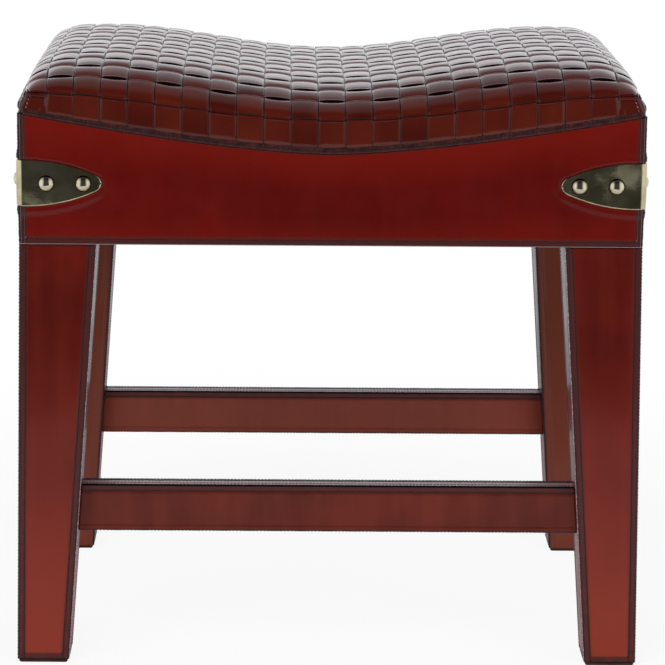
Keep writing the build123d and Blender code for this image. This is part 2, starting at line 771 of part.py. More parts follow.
# Apron panels: the front and back ones follow the saddle seam, the end ones a shallow arch
for side, sign_y in (("front", -1), ("back", 1)):
    seam_line = saddle_line(half_width, seam_height)
    with BuildPart() as panel_long:
        with BuildSketch(Plane.XZ.offset(-sign_y * (half_depth - panel_thickness))):
            with BuildLine():
                Polyline(seam_line + [(half_width, apron_bottom), (-half_width, apron_bottom)], close=True)
            make_face()
        extrude(amount=-sign_y * panel_thickness)
        with BuildSketch(Plane.XY.offset(apron_bottom)):
            with Locations((0, sign_y * (half_depth - (panel_return + panel_thickness) / 2))):
                Rectangle(2 * (post_inner_x - glue_gap), panel_return + panel_thickness)
        extrude(amount=panel_thickness)
        outer = panel_long.edges().filter_by(Axis.Z).filter_by_position(
            Axis.Y, sign_y * half_depth - glue_gap, sign_y * half_depth + glue_gap
        )
        chamfer(outer, panel_edge_bevel)
        cut_rivet_holes([plane for plane in rivet_seats if plane.z_dir.Y * sign_y > 0.5])
    export(panel_long.part, f"apron_panel_{side}")

for side, sign_x in (("left", -1), ("right", 1)):
    panel_end_y = half_depth - panel_thickness
    with BuildPart() as panel_short:
        with BuildSketch(Plane.YZ.offset(sign_x * (half_width - panel_thickness))):
            with BuildLine():
                top_edge = ThreePointArc(
                    (-panel_end_y, end_seam_height(panel_end_y)),
                    (0, end_seam_height(0)),
                    (panel_end_y, end_seam_height(panel_end_y)),
                )
                Polyline(
                    top_edge @ 1, (panel_end_y, apron_bottom), (-panel_end_y, apron_bottom), top_edge @ 0
                )
            make_face()
        extrude(amount=sign_x * panel_thickness)
        with BuildSketch(Plane.XY.offset(apron_bottom)):
            with Locations((sign_x * (half_width - (panel_return + panel_thickness) / 2), 0)):
                Rectangle(panel_return + panel_thickness, 2 * (post_inner_y - glue_gap))
        extrude(amount=panel_thickness)
        cut_rivet_holes([plane for plane in rivet_seats if plane.z_dir.X * sign_x > 0.5])
    export(panel_short.part, f"apron_panel_{side}")

# Dust cover under the rails, notched round the four posts
with BuildPart() as dust_cover:
    with BuildSketch(Plane.XY.offset(dust_cover_bottom)):
        Rectangle(2 * dust_cover_x, 2 * (post_inner_y - glue_gap))
        Rectangle(2 * (post_inner_x - glue_gap), 2 * dust_cover_y)
    extrude(amount=dust_cover_thickness)
    cut_tack_holes()
export(dust_cover.part, "dust_cover")

with BuildPart() as dust_cover_tacks:
    with BuildSketch(Plane.XY.offset(dust_cover_bottom)):
        with Locations(*tack_points):
            RegularPolygon(tack_head_diameter / 2, tack_head_sides)
    extrude(amount=-tack_head_height)
    with BuildSketch(Plane.XY.offset(dust_cover_bottom)):
        with Locations(*tack_points):
            Rectangle(tack_shank_width, tack_shank_width)
    extrude(amount=tack_shank_length)
export(dust_cover_tacks.part, "dust_cover_tacks")


def leaf_outline(reach):
    """Half outline of a corner-strap leaf: square at the corner, swelling and running to a tip."""
    half = corner_strap_height / 2
    shoulder = (corner_strap_length * leaf_shoulder_shares[0], half * leaf_shoulder_shares[1])
    return (-reach, half), (0, half), shoulder, (corner_strap_length, half * leaf_tip_share)


# Corner straps: two leaves bent round each vertical corner of the apron
for corner, (sign_x, sign_y) in corner_signs.items():
    with BuildPart() as corner_strap:
        heel, start, shoulder, tip = leaf_outline(corner_strap_thickness)
        front_plane = Plane(
            origin=(sign_x * half_width, sign_y * half_depth, corner_strap_z),
            x_dir=(-sign_x, 0, 0),
            z_dir=(0, sign_y, 0),
        )
        end_plane = Plane(
            origin=(sign_x * half_width, sign_y * half_depth, corner_strap_z),
            x_dir=(0, -sign_y, 0),
            z_dir=(sign_x, 0, 0),
        )
        for plane in (front_plane, end_plane):
            with BuildSketch(plane):
                with BuildLine():
                    upper = ThreePointArc(start, shoulder, tip)
                    lower = ThreePointArc(
                        (start[0], -start[1]), (shoulder[0], -shoulder[1]), (tip[0], -tip[1])
                    )
                    Line(upper @ 1, lower @ 1)
                    Polyline(upper @ 0, heel, (heel[0], -heel[1]), lower @ 0)
                make_face()
            extrude(amount=corner_strap_thickness)
        outer_bend = corner_strap.edges().filter_by(Axis.Z).sort_by(
            lambda edge: abs(edge.center().X) + abs(edge.center().Y)
        )[-1]
        fillet(outer_bend, corner_strap_bend_radius)
        cut_rivet_holes(rivet_planes(sign_x, sign_y))
    export(corner_strap.part, f"corner_strap_{corner}")

with BuildPart() as corner_strap_rivets:
    with Locations(*[plane.location for plane in rivet_seats]):
        add(rivet.part)
export(corner_strap_rivets.part, "corner_strap_rivets")
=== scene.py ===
"""Saddle stool with a woven leather seat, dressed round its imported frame.

Blender metres in the frame's axes: +Z up, +X along the seat, +Y to the back.
"""

import math

import bmesh
import bpy
import numpy as np
from mathutils import Matrix, Vector


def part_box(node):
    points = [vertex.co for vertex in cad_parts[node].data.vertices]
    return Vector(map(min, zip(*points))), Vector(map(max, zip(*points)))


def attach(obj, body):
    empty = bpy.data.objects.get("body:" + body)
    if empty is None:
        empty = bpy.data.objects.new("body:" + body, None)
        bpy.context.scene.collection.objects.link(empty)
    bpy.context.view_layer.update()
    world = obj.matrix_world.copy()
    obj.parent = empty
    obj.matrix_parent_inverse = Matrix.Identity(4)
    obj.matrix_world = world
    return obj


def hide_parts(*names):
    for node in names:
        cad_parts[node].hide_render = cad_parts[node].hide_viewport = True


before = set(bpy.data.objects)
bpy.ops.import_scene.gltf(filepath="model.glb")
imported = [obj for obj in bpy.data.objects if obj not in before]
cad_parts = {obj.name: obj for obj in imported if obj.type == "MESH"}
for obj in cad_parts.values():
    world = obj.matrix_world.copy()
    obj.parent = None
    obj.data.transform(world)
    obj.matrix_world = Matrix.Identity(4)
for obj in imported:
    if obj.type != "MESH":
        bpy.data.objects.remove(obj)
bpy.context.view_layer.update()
rng = np.random.default_rng(663)

MM = 0.001

# Sizes of the stool in metres, the same as in the frame
HALF_WIDTH = 0.2475
HALF_DEPTH = 0.175
LEG_LENGTH = 0.352
SOLE_THICKNESS = 0.003
APRON_MID_HEIGHT = 0.0735
APRON_END_RISE = 0.0313
SADDLE_POWER = 1.5
SKIRT_HEIGHT = 0.025
CROWN_HEIGHT = 0.0226
HORN_RISE = 0.0193
HORN_SHARE = 0.75
CROWN_POWER = 4.2
CROWN_ROUND = 0.68
END_SEAM_ARCH = 0.005

# Rolled ends of the seat, and the top line of the front and back skirt
END_INSET = 0.006
END_ROLL = 0.030
END_HEIGHT = 0.018
END_ROUND = 2.2
END_SKIRT = 0.0135
END_FLARE = 0.0035
CORNER_INSET = 0.004
SKIRT_TOP_MID = 0.101
SKIRT_TOP_RISE = 0.0205

# Woven straps. Lengths counted in rows say where they go in under the welt.
COLUMNS = 23
ROWS = 15
CROSSING_STEPS = 14
COLUMN_PITCH = 2 * HALF_WIDTH / COLUMNS
STRAP_THICKNESS = 0.0018
STRAP_GAP = 0.0007
STRAP_ARCH = 0.0002
WEAVE_SWING = 0.00145
LONG_SWING = 0.0016
CUP_DEPTH = 0.0011
CUP_REACH = 0.16
SWING_POWER = 0.45
# How dark the painted shade is where a strap dives under the strap that crosses it
DIP_SHADE = 0.85
TUCK_DEPTH = 0.0014
TUCK_ROWS = 0.15
TUCK_RAMP = 0.09
SKIRT_SWING, CALM_START, CALM_REACH = 0.6, 0.8, 0.4
SIDE_STRAP_START = 0.86
SKIRT_ROW_INSET = 0.9
SKIRT_ROW_SHARE = 0.96
END_STRAP_GAP = 0.0004
END_STRAP_INSET = 0.1
# Distance from a strap's edge, height of the creased lip along it, edge tone
STRAP_LIP = (
    (0.0, -0.00075, 1.0), (0.00012, -0.0002, 1.0), (0.00045, 0.00006, 0.55),
    (0.0009, 0.00004, 0.0), (0.0014, -0.00016, 0.15), (0.0022, -0.0001, 0.0),
)

# Seams and stitches
STITCH_PITCH = 0.0028
STITCH_LENGTH = 0.0022
STITCH_RADIUS = 0.00038
STITCH_SLANT = 0.22
STITCH_SIDES = 6
STITCH_INSET = 0.0051
# Along a stitch: place and width as shares of its length and radius, and height over the leather
STITCH_PROFILE = ((-0.5, 0.35, -0.7), (-0.28, 1.0, 0.25), (0.28, 1.0, 0.25), (0.5, 0.35, -0.7))
HEM_STITCH = 0.0044
SERRATION = 0.00042
SERRATED_REACH = 0.0016
SERRATED_STEPS = 3
PILLOW = 0.0003
# Across a sewn face from its edge inwards, in millimetres: distance, height and edge tone.
# Edge tones run from 0, plain leather, to 1, black; above 1 they are painted highlights, pale.
SEWN_STEPS = (
    (0.0, -0.30, 1.0), (0.65, 0.18, 1.0), (1.2, 0.34, 0.86), (1.9, 0.20, 0.60), (3.1, 0.32, 0.56),
    (4.2, 0.16, 0.62), (5.1, -0.18, 0.86), (5.9, 0.0, 0.36), (6.8, 0.14, 0.12), (8.4, 0.24, 0.0),
)

# The same across the ends of an apron panel
# Its tones above 1, at 1.7 and 4.5 mm, are painted highlights: pale lines where the edge and
# stitches would catch the light
APRON_STEPS = (
    (0.0, -0.30, 1.0), (0.65, 0.18, 1.0), (1.2, 0.30, 1.0), (1.7, 0.36, 1.17),
    (2.3, 0.20, 0.9), (3.1, 0.10, 0.8), (4.0, 0.04, 0.9), (4.5, 0.16, 1.13),
    (5.1, 0.18, 0.9), (5.7, 0.10, 0.45), (6.6, 0.14, 0.2), (8.4, 0.24, 0.0),
)
# Up from an apron panel's hem, and down from its seam: distance, height, edge tone, in metres
# The tones above 1 at the very bottom of the hem are a painted reflection of the floor
HEM_ROWS = (
    (0.0003, 0.0, 1.3), (0.0010, 0.0, 1.1), (0.0019, 0.0001, 0.8), (0.0030, 0.0002, 0.62),
    (0.0044, -0.0001, 0.85), (0.0058, 0.0001, 0.4), (0.0082, 0.0002, 0.0),
)
SEAM_ROWS = ((0.0060, 0.0002, 0.0), (0.0032, 0.0002, 0.0), (0.0010, 0.0002, 0.05), (0.0, 0.0, 0.5))
PANEL_ROWS, PANEL_START, PANEL_END = 80, 0.011, 0.009
NEAR_START, NEAR_STEP, NEAR_COUNT, FAR_GAP, FAR_STEP = 0.0105, 0.0025, 32, 0.006, 0.009
POST_STEP = 0.0001
PANEL_THICKNESS = 0.002
PANEL_TURN_IN = 0.014
END_PANEL_INSET = 0.0022
POST_GAP = 0.0018
PUCKER_RISE, PUCKER_GAP, PUCKER_REACH = 0.0010, 0.0030, 0.0042
PRESS_MARGIN, PRESS_DEPTH = 0.0004, 0.0002
# Share of a panel's height and how rubbed it is there
PANEL_WEAR = ((0.05, 0.3, 0.62, 0.92), (0.35, 0, 0, 0.5))

# Legs and stretchers
LEG_FOOT_OUTSET = 0.0067
LEG_FACE_INSET = 0.002
# Across a leg, at the foot and at the top
LEG_WIDTHS = (0.0417, 0.061)
LEG_DEPTHS = (0.0396, 0.051)
STRETCHER_HEIGHT = 0.039
STRETCHER_THICKNESS = 0.018
STRETCHER_BOTTOM = 0.1105
JOINT_GAP = 0.0003
LEG_STEPS = 430
STRETCHER_STEPS = 420
LEG_OUTER_Y = HALF_DEPTH - LEG_FACE_INSET
# Height over the sole, and how dark and how rubbed the leather is there
FOOT_HEM = ((0, 0.0008, 0.0015, 0.004, 0.0065), (1.0, 1.0, 0.65, 0.6, 0.0))
FOOT_WEAR = ((0, 0.06, 0.15, 0.26), (0.95, 0.75, 0.25, 0.0))

# Tones of a bar's faces by the distance from their edge: a thin edge fades out; a painted highlight
# on a ridge lies beside a black band; a face with a painted reflection is pale behind a thin near
# and a wide far black edge
THIN_EDGE = ((0, 0.0007, 0.0016), (1, 1, 0.12))
RIDGE_START, RIDGE_END, BAND_END = 0.0005, 0.0015, 0.0055
RIDGE_HIGHLIGHT, RIDGE_GAP_TONE, RIDGE_NOTCH = 1.6, 0.95, -0.3
REFLECTION_NEAR, REFLECTION_FAR = 0.0013, 0.0045
REFLECTION_TONE = 1.19
PLAIN_BROWN = 0.75

# Brass corner straps
BRASS_HEIGHT = 0.0372
BRASS_LENGTH = 0.066
BRASS_THICKNESS = 0.0016
# Height of a leaf at the corner, at 0.55 of its length and at its tip
LEAF_SHARES = (1, 0.82, 0.24)
BRASS_MIDDLE = LEG_LENGTH + 0.0495
BRASS_BEND = 0.0038
BRASS_TIP = 0.0042
BRASS_RIM = 0.0007
# Across a leaf's rim: distance from its edge as a share of the rim, and height
BRASS_EDGE = ((2, 0.00165), (1, 0.0016), (0.5, 0.0014), (0, 0.0009), (0, 0.0))
RIVET_RADIUS = 0.00575
RIVET_HEIGHT = 0.0042
RIVET_OFFSETS = (0.0222, 0.0515)
RIVET_SHOULDER = 0.0007
# Seating ring of a rivet: radius as a share of the head's, height, rim tone (a painted shadow round
# the head)
RIVET_SEAT = ((1.17, -0.0002, 0.9), (1.15, 0.00035, 1.0), (1.02, 0.0004, 1.0))

# Welts: section as (out, up) points, height and length of their waves, half of their lengths
WELT_SECTION = (
    (-0.0032, 0.0004), (0.0002, 0.0002), (0.0010, 0.0008), (0.0014, 0.0018), (0.0012, 0.0028),
    (0.0013, 0.0040), (0.0011, 0.0054), (0.0004, 0.0062), (-0.0006, 0.0064), (-0.0032, 0.0060),
)
WELT_WAVES = ((0.00015, 0.0031), (0.0002, COLUMN_PITCH))
WELT_SIDE_REACH = HALF_WIDTH - 0.0045
WELT_END_REACH = HALF_DEPTH - 0.017

# Corner flaps, measured along the seam from the corner
FLAP_FRONT = COLUMN_PITCH * 0.97
FLAP_END = 0.0165
FLAP_X = HALF_WIDTH - 0.0014
FLAP_BEND, FLAP_FLAT = 0.0024, 0.003
FLAP_OUT, FLAP_OVER = 0.0012, 0.0018
FLAP_LEAN = 0.0045
FLAP_ROUND = 0.0036
FLAP_CORNER = 0.0065
FLAP_UNDER = 0.0026
FLAP_TUCK = 0.0018
FLAP_TURN = math.pi / 2 * 0.85
FLAP_THICKNESS = 0.0016
FLAP_CREASE, FLAP_EDGE = 0.0016, 0.0009
FLAP_SHADE = 0.35
# Folds of a flap: distance from the corner, width, height, and their middle and reach up the flap
FLAP_FOLDS = ((0.0165, 0.0011, 0.0007, 0.25, 0.35), (0.0125, 0.0012, 0.0005, 0.15, 0.3))

# Inside the seat
CUSHION_DEPTH, CUSHION_INSET, CUSHION_SKIRT = 0.0034, 0.002, 0.25
RAIL_DROP = 0.010
DECK_THICKNESS = 0.009
DECK_GAP = 0.0008

# Camera: place in metres, angles in degrees, lens in millimetres on a 36 mm sensor
CAMERA_PLACE = (-0.0399, -2.325, 0.793)
CAMERA_DOWN = 13.385
CAMERA_ROLL = 0.36
CAMERA_LENS = 149.57
CAMERA_SHIFT = 0.0789

FLOOR_RADIUS = 1.0
FLOOR_SEEN = 0.9

CORNERS = {
    "front_left": (-1, -1), "front_right": (1, -1), "back_left": (-1, 1), "back_right": (1, 1),
}


# Materials

class Graph:
    """A short way to write the nodes of a material or a world."""

    def __init__(self, name, kind="materials", output="ShaderNodeOutputMaterial"):
        self.owner = getattr(bpy.data, kind).new(name)
        self.owner.use_nodes = True
        self.tree = self.owner.node_tree
        self.tree.nodes.clear()
        self.output = self.tree.nodes.new(output)

    def add(self, kind, inputs=None, **settings):
        node = self.tree.nodes.new(kind)
        for key, value in settings.items():
            setattr(node, key, value)
        for key, value in (inputs or {}).items():
            if isinstance(value, bpy.types.NodeSocket):
                self.tree.links.new(value, node.inputs[key])
            else:
                node.inputs[key].default_value = value
        return node

    def place(self):
        return self.add("ShaderNodeTexCoord").outputs["Object"]

    def stretched(self, scale):
        return self.add("ShaderNodeMapping", {"Vector": self.place(), "Scale": scale}).outputs[0]

    def noise(self, scale, detail=3.0, vector=None):
        inputs = {"Vector": vector or self.place(), "Scale": scale, "Detail": detail}
        inputs["Roughness"] = 0.55
        return self.add("ShaderNodeTexNoise", inputs).outputs["Fac"]

    def patches(self, scale, detail, low, high):
        """A value that goes between low and high by soft patches."""
        return self.span(self.noise(scale, detail), 0.3, 0.7, low, high)

    def voronoi(self, scale):
        inputs = {"Vector": self.place(), "Scale": scale}
        return self.add("ShaderNodeTexVoronoi", inputs).outputs["Distance"]

    def wave(self, scale, vector=None, distortion=0.0, detail=2.0, axis="X"):
        inputs = {"Vector": vector or self.place(), "Scale": scale, "Detail": detail}
        inputs["Distortion"] = distortion
        return self.add("ShaderNodeTexWave", inputs, bands_direction=axis).outputs["Fac"]

    def attribute(self, name):
        return self.add("ShaderNodeAttribute", attribute_name=name).outputs["Fac"]

    def span(self, value, low, high, to_low=0.0, to_high=1.0):
        return self.add("ShaderNodeMapRange", {
            "Value": value, "From Min": low, "From Max": high, "To Min": to_low, "To Max": to_high,
        }).outputs[0]

    def math(self, operation, first, second):
        return self.add("ShaderNodeMath", {0: first, 1: second}, operation=operation).outputs[0]

    def times(self, first, second):
        return self.math("MULTIPLY", first, second)

    def mix(self, factor, first, second):
        """Mixes two colours. A colour mix has its factor in socket 0, its colours in 6 and 7."""
        inputs = {0: factor, 6: first, 7: second}
        return self.add("ShaderNodeMix", inputs, data_type="RGBA").outputs[2]

    def mix_shaders(self, factor, first, second):
        inputs = {0: factor, 1: first.outputs[0], 2: second.outputs[0]}
        return self.add("ShaderNodeMixShader", inputs)

    def bump(self, height, strength, distance, normal=None):
        inputs = {"Height": height, "Strength": strength, "Distance": distance}
        if normal is not None:
            inputs["Normal"] = normal
        return self.add("ShaderNodeBump", inputs).outputs[0]

    def close(self, shader):
        self.tree.links.new(shader.outputs[0], self.output.inputs[0])
        return self.owner

    def finish(self, colour, rough, normal, **others):
        inputs = {"Base Color": colour, "Roughness": rough, "Normal": normal}
        inputs.update({key.replace("_", " "): value for key, value in others.items()})
        return self.close(self.add("ShaderNodeBsdfPrincipled", inputs))


def rgb(*parts):
    """Linear colour from a colour written as it shows on a screen, 0 to 255."""
    parts = [part / 255 for part in parts]
    return (*(p / 12.92 if p <= 0.04045 else ((p + 0.055) / 1.055) ** 2.4 for p in parts), 1.0)


def smooth_leather(name, deep, warm, pale, roughness):
    """Polished hide: cloudy dye, fine grain, burnished dark towards the sewn edges, and painted
    highlights.
    """
    g = Graph(name)
    deep, warm, pale = rgb(*deep), rgb(*warm), rgb(*pale)
    clouds = g.span(g.noise(14, 4), 0.35, 0.68)
    streaks = g.span(g.noise(9, 3, vector=g.stretched((7, 7, 0.8))), 0.4, 0.7)
    colour = g.mix(clouds, deep, warm)
    colour = g.mix(g.times(streaks, 0.12), colour, pale)
    # Paler where worn, and on the back stretcher paler by painted light
    colour = g.mix(g.attribute("wear"), colour, pale)
    colour = g.mix(g.attribute("brown"), colour, rgb(120, 62, 44))
    edge = g.attribute("edge")
    blotches = g.span(g.noise(160, 2), 0.2, 0.6, 0.8, 1.0)
    dark_band = g.times(g.span(edge, 0.0, 0.62), blotches)
    colour = g.mix(dark_band, colour, rgb(76, 36, 33))
    colour = g.mix(g.span(edge, 0.86, 1.0), colour, rgb(13, 8, 10))
    # Tones above 1 are painted highlights and reflections: pinkish pale, then near white
    colour = g.mix(g.span(edge, 1.04, 1.22), colour, rgb(172, 138, 142))
    colour = g.mix(g.span(edge, 1.4, 1.58), colour, rgb(226, 212, 212))
    normal = g.bump(g.voronoi(1500), 0.10, 0.0003)
    normal = g.bump(g.noise(900, 4), 0.08, 0.0003, normal)
    normal = g.bump(g.noise(55, 3), 0.10, 0.0012, normal)
    rough = g.patches(40, 3, roughness - 0.05, roughness + 0.07)
    coat = {"Coat_Weight": 0.3, "Coat_Roughness": 0.1}
    return g.finish(colour, rough, normal, Specular_IOR_Level=0.22, **coat)


def woven_leather():
    """Glazed straps with black cut edges, a little different from strap to strap."""
    g = Graph("woven_leather")
    colour = g.mix(g.attribute("shade"), rgb(74, 17, 10), rgb(100, 33, 17))
    colour = g.mix(g.patches(30, 4, 0.0, 0.4), colour, rgb(68, 15, 9))
    # The edge tone blackens the cut edges, and adds painted shade where a strap dives under another
    colour = g.mix(g.attribute("edge"), colour, rgb(20, 10, 12))
    normal = g.bump(g.voronoi(1300), 0.08, 0.0003)
    normal = g.bump(g.noise(260, 3), 0.12, 0.0005, normal)
    rough = g.patches(70, 3, 0.15, 0.24)
    coat = {"Coat_Weight": 0.4, "Coat_Roughness": 0.08}
    return g.finish(colour, rough, normal, Specular_IOR_Level=0.32, **coat)


def mottled(name, dark, light, clouds, grain, rough, metallic=0.0):
    """Two tones in soft clouds under a fine grain. clouds holds the scale, detail and range of
    a noise, grain a scale, detail, strength and depth."""
    g = Graph(name)
    colour = g.mix(g.span(g.noise(*clouds[:2]), *clouds[2:]), rgb(*dark), rgb(*light))
    normal = g.bump(g.noise(*grain[:2]), *grain[2:])
    return g.finish(colour, g.patches(*rough), normal, Metallic=metallic)


def thread(name, dark, light):
    """Waxed two-ply thread."""
    g = Graph(name)
    twist = g.wave(900.0, distortion=2.0)
    colour = g.mix(g.patches(300, 2, 0.0, 1.0), dark, light)
    rough = g.patches(90, 2, 0.3, 0.45)
    return g.finish(colour, rough, g.bump(twist, 0.3, 0.0002))


def brass(name, base, tint, low, high):
    """Polished brass with soft tarnish clouds and fine rubbing marks, and a painted shadow round
    each rivet.
    """
    g = Graph(name)
    tarnish = g.span(g.noise(45, 4), 0.35, 0.7)
    colour = g.mix(tarnish, base, tint)
    marks = g.noise(60, 5, vector=g.stretched((1, 1, 14)))
    haze = g.span(g.noise(26, 3), 0.42, 0.62)
    dull = g.math("ADD", g.times(marks, 0.3), g.times(haze, 0.7))
    rough = g.span(dull, 0.2, 0.8, low, high)
    # Painted shadow: the rim tone darkens each rivet's seating ring and the foot of its dome
    colour = g.mix(g.attribute("rim"), colour, rgb(26, 22, 18))
    normal = g.bump(marks, 0.03, 0.0004)
    normal = g.bump(g.noise(28, 2), 0.10, 0.0030, normal)
    return g.finish(colour, rough, normal, Metallic=1.0)


def wood(name, dark, light, stretch):
    g = Graph(name)
    vector = g.stretched(stretch)
    rings = g.wave(14.0, vector, distortion=6.0, detail=3.0)
    fibre = g.noise(260, 4, vector=vector)
    colour = g.mix(g.times(rings, 0.7), light, dark)
    colour = g.mix(g.times(fibre, 0.35), colour, dark)
    rough = g.span(fibre, 0.3, 0.7, 0.5, 0.75)
    return g.finish(colour, rough, g.bump(fibre, 0.3, 0.0004))


def lining_cloth():
    """Plain black-brown lining cloth, woven finely."""
    g = Graph("lining_cloth")
    weave = g.times(g.wave(420.0, axis="X"), g.wave(420.0, axis="Y"))
    colour = g.mix(weave, rgb(24, 21, 22), rgb(52, 46, 46))
    colour = g.mix(g.times(g.noise(20, 3), 0.4), colour, rgb(30, 26, 27))
    rough = g.patches(60, 2, 0.8, 0.95)
    return g.finish(colour, rough, g.bump(weave, 0.5, 0.0004), Sheen_Weight=0.3)


def foam():
    g = Graph("foam")
    cells = g.voronoi(420)
    colour = g.mix(g.span(cells, 0.1, 0.6), rgb(30, 22, 20), rgb(44, 33, 29))
    rough = g.span(cells, 0, 1, 0.8, 0.95)
    return g.finish(colour, rough, g.bump(cells, 0.5, 0.0005))


LEATHER = smooth_leather("panel_leather", (90, 7, 2), (106, 12, 4), (132, 22, 9), 0.36)
LEG_LEATHER = smooth_leather("leg_leather", (86, 13, 5), (104, 20, 8), (154, 56, 38), 0.36)
STRETCHER_LEATHER = smooth_leather(
    "stretcher_leather", (82, 20, 9), (108, 32, 16), (160, 78, 58), 0.38
)
WOVEN = woven_leather()
WELT = mottled(
    "welt_leather", (44, 15, 16), (72, 29, 27), (220, 3, 0.35, 0.65), (700, 3, 0.3, 0.0004),
    (120, 2, 0.3, 0.45),
)
THREAD = thread("thread", rgb(112, 70, 72), rgb(176, 134, 134))
DARK_THREAD = thread("dark_thread", rgb(12, 7, 8), rgb(36, 21, 22))
SOLE = mottled(
    "sole_leather", (52, 27, 22), (86, 48, 36), (90, 4, 0.3, 0.7), (500, 4, 0.3, 0.0004),
    (60, 3, 0.55, 0.8),
)
BRASS = brass("brass", rgb(236, 224, 184), rgb(176, 166, 124), 0.05, 0.40)
RIVET = brass("rivet_brass", rgb(240, 232, 208), rgb(220, 208, 172), 0.04, 0.10)
STEEL = mottled(
    "steel", (120, 118, 116), (168, 166, 162), (200, 3, 0.3, 0.7), (400, 2, 0.1, 0.0003),
    (150, 3, 0.28, 0.5), metallic=1.0,
)
WOOD = wood("beech", rgb(150, 104, 66), rgb(200, 160, 112), (0.4, 3.0, 3.0))
POST_WOOD = wood("beech_upright", rgb(150, 104, 66), rgb(200, 160, 112), (3.0, 3.0, 0.4))
PLY = wood("plywood", rgb(166, 124, 82), rgb(212, 178, 132), (0.5, 2.0, 6.0))
CLOTH = lining_cloth()
CUSHION_COVER = foam()


# Pieces

def placed(name, data):
    """An object in the scene that shows the given data."""
    thing = bpy.data.objects.new(name, data)
    bpy.context.collection.objects.link(thing)
    return thing


class Build:
    """Gathers vertices, faces and attributes of one piece."""

    def __init__(self):
        self.verts, self.faces, self.values, self.count = [], [], {}, 0

    def tube(self, rings, **values):
        """A closed band over rings of points, with capped ends. The values are attributes of the
        points, or to be spread over them."""
        rows, columns = rings.shape[:2]
        self.verts.append(rings.reshape(-1, 3))
        for key, value in values.items():
            value = np.broadcast_to(value, (rows, columns)).reshape(-1)
            self.values.setdefault(key, []).append(value)
        last = self.count + (rows - 1) * columns
        for low in range(self.count, last, columns):
            for j in range(columns):
                k = (j + 1) % columns
                self.faces.append((low + j, low + k, low + columns + k, low + columns + j))
        self.faces.append(tuple(range(self.count, self.count + columns))[::-1])
        self.faces.append(tuple(range(last, last + columns)))
        self.count = last + columns

    def piece(self, name, material, *nodes, slot="leather_red"):
        """An object that rides on the stool and stands for the given frame nodes."""
        mesh = bpy.data.meshes.new(name)
        mesh.from_pydata(np.concatenate(self.verts).tolist(), [], self.faces)
        mesh.validate()
        shell = bmesh.new()
        shell.from_mesh(mesh)
        bmesh.ops.recalc_face_normals(shell, faces=shell.faces)
        shell.to_mesh(mesh)
        shell.free()
        mesh.update()
        mesh.shade_smooth()
        for key, values in self.values.items():
            layer = mesh.attributes.new(key, "FLOAT", "POINT")
            layer.data.foreach_set("value", np.concatenate(values).astype(np.float32))
        mesh.materials.append(material)
        piece = placed(name, mesh)
        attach(piece, "root")
        if nodes:
            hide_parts(*nodes)
        return piece


def joined(*parts):
    """Points from their coordinates, each an array or one number."""
    return np.stack(np.broadcast_arrays(*parts), axis=-1)


def unit(vectors):
    size = np.linalg.norm(vectors, axis=-1, keepdims=True)
    return vectors / np.maximum(size, 1e-12)


def bell(value, width):
    """A smooth hump: 1 at 0, about 0.37 at one width to either side."""
    return np.exp(-(value / width) ** 2)


def stitch_line(build, path, normals):
    """Short slanted stitches along a path, lying on the surface that the normals point out of."""
    normals = np.broadcast_to(normals, path.shape)
    steps = np.linalg.norm(np.diff(path, axis=0), axis=1)
    travel = np.concatenate([[0], np.cumsum(steps)])
    count = max(int(travel[-1] / STITCH_PITCH), 1)
    middles = (np.arange(count) + 0.5) * travel[-1] / count

    def at(distance, values):
        return np.stack([np.interp(distance, travel, values[:, i]) for i in range(3)], axis=-1)

    centre, normal = at(middles, path), unit(at(middles, normals))
    ahead = unit(at(middles + MM * 0.5, path) - at(middles - MM * 0.5, path))
    side = unit(np.cross(normal, ahead))
    ahead = unit(ahead + side * STITCH_SLANT)
    side = unit(np.cross(normal, ahead))
    turn = np.arange(STITCH_SIDES) * 2 * math.pi / STITCH_SIDES
    for c, n, a, s in zip(centre, normal, ahead, side):
        circle = (np.outer(np.cos(turn), s) + np.outer(np.sin(turn), n)) * STITCH_RADIUS
        build.tube(np.array([
            c + a * along * STITCH_LENGTH + n * lift * STITCH_RADIUS + circle * width
            for along, width, lift in STITCH_PROFILE
        ]))


# Surface of the seat, and the weave that lies on it

def crest(x):
    wave = (1 - np.cos(math.pi * x / (HORN_SHARE * HALF_WIDTH))) / 2
    return LEG_LENGTH + APRON_MID_HEIGHT + SKIRT_HEIGHT + CROWN_HEIGHT + HORN_RISE * wave


def seam(x):
    """Height of the seam between the front or back panel and the seat."""
    return LEG_LENGTH + APRON_MID_HEIGHT + APRON_END_RISE * np.abs(x / HALF_WIDTH) ** SADDLE_POWER


def skirt_top(x):
    """Height of the line between the skirt row and the first row of the crown."""
    return LEG_LENGTH + SKIRT_TOP_MID + SKIRT_TOP_RISE * (1 - np.cos(math.pi * x / HALF_WIDTH)) / 2


def end_seam(y):
    return seam(HALF_WIDTH) + END_SEAM_ARCH * (1 - (y / HALF_DEPTH) ** 2)


def crown_drop(y):
    side = np.clip(1 - np.abs(y / HALF_DEPTH) ** CROWN_POWER, 0, 1)
    return CROWN_HEIGHT * (1 - side ** CROWN_ROUND)


def curve_length(across, up):
    """Distance along a curve at each of its points."""
    return np.concatenate([[0], np.cumsum(np.hypot(np.diff(across), np.diff(up)))])


PROFILE_Y = -HALF_DEPTH * np.cos(np.linspace(0, math.pi, 1601))
PROFILE_TRAVEL = curve_length(PROFILE_Y, crown_drop(PROFILE_Y))
PROFILE_LENGTH = PROFILE_TRAVEL[-1]
ROW_PITCH = PROFILE_LENGTH / ROWS
ROLL_ANGLE = np.linspace(0, math.pi / 2, 201)
ROLL_X = END_ROLL * np.sin(ROLL_ANGLE) ** (2 / END_ROUND)
ROLL_Z = END_HEIGHT * (1 - np.cos(ROLL_ANGLE))
ROLL_TRAVEL = curve_length(ROLL_X, ROLL_Z)
ROLL_LENGTH = ROLL_TRAVEL[-1]
FLAT_REACH = HALF_WIDTH - END_INSET - END_ROLL
ROLL_END = FLAT_REACH + ROLL_LENGTH
END_REACH = ROLL_END + END_SKIRT


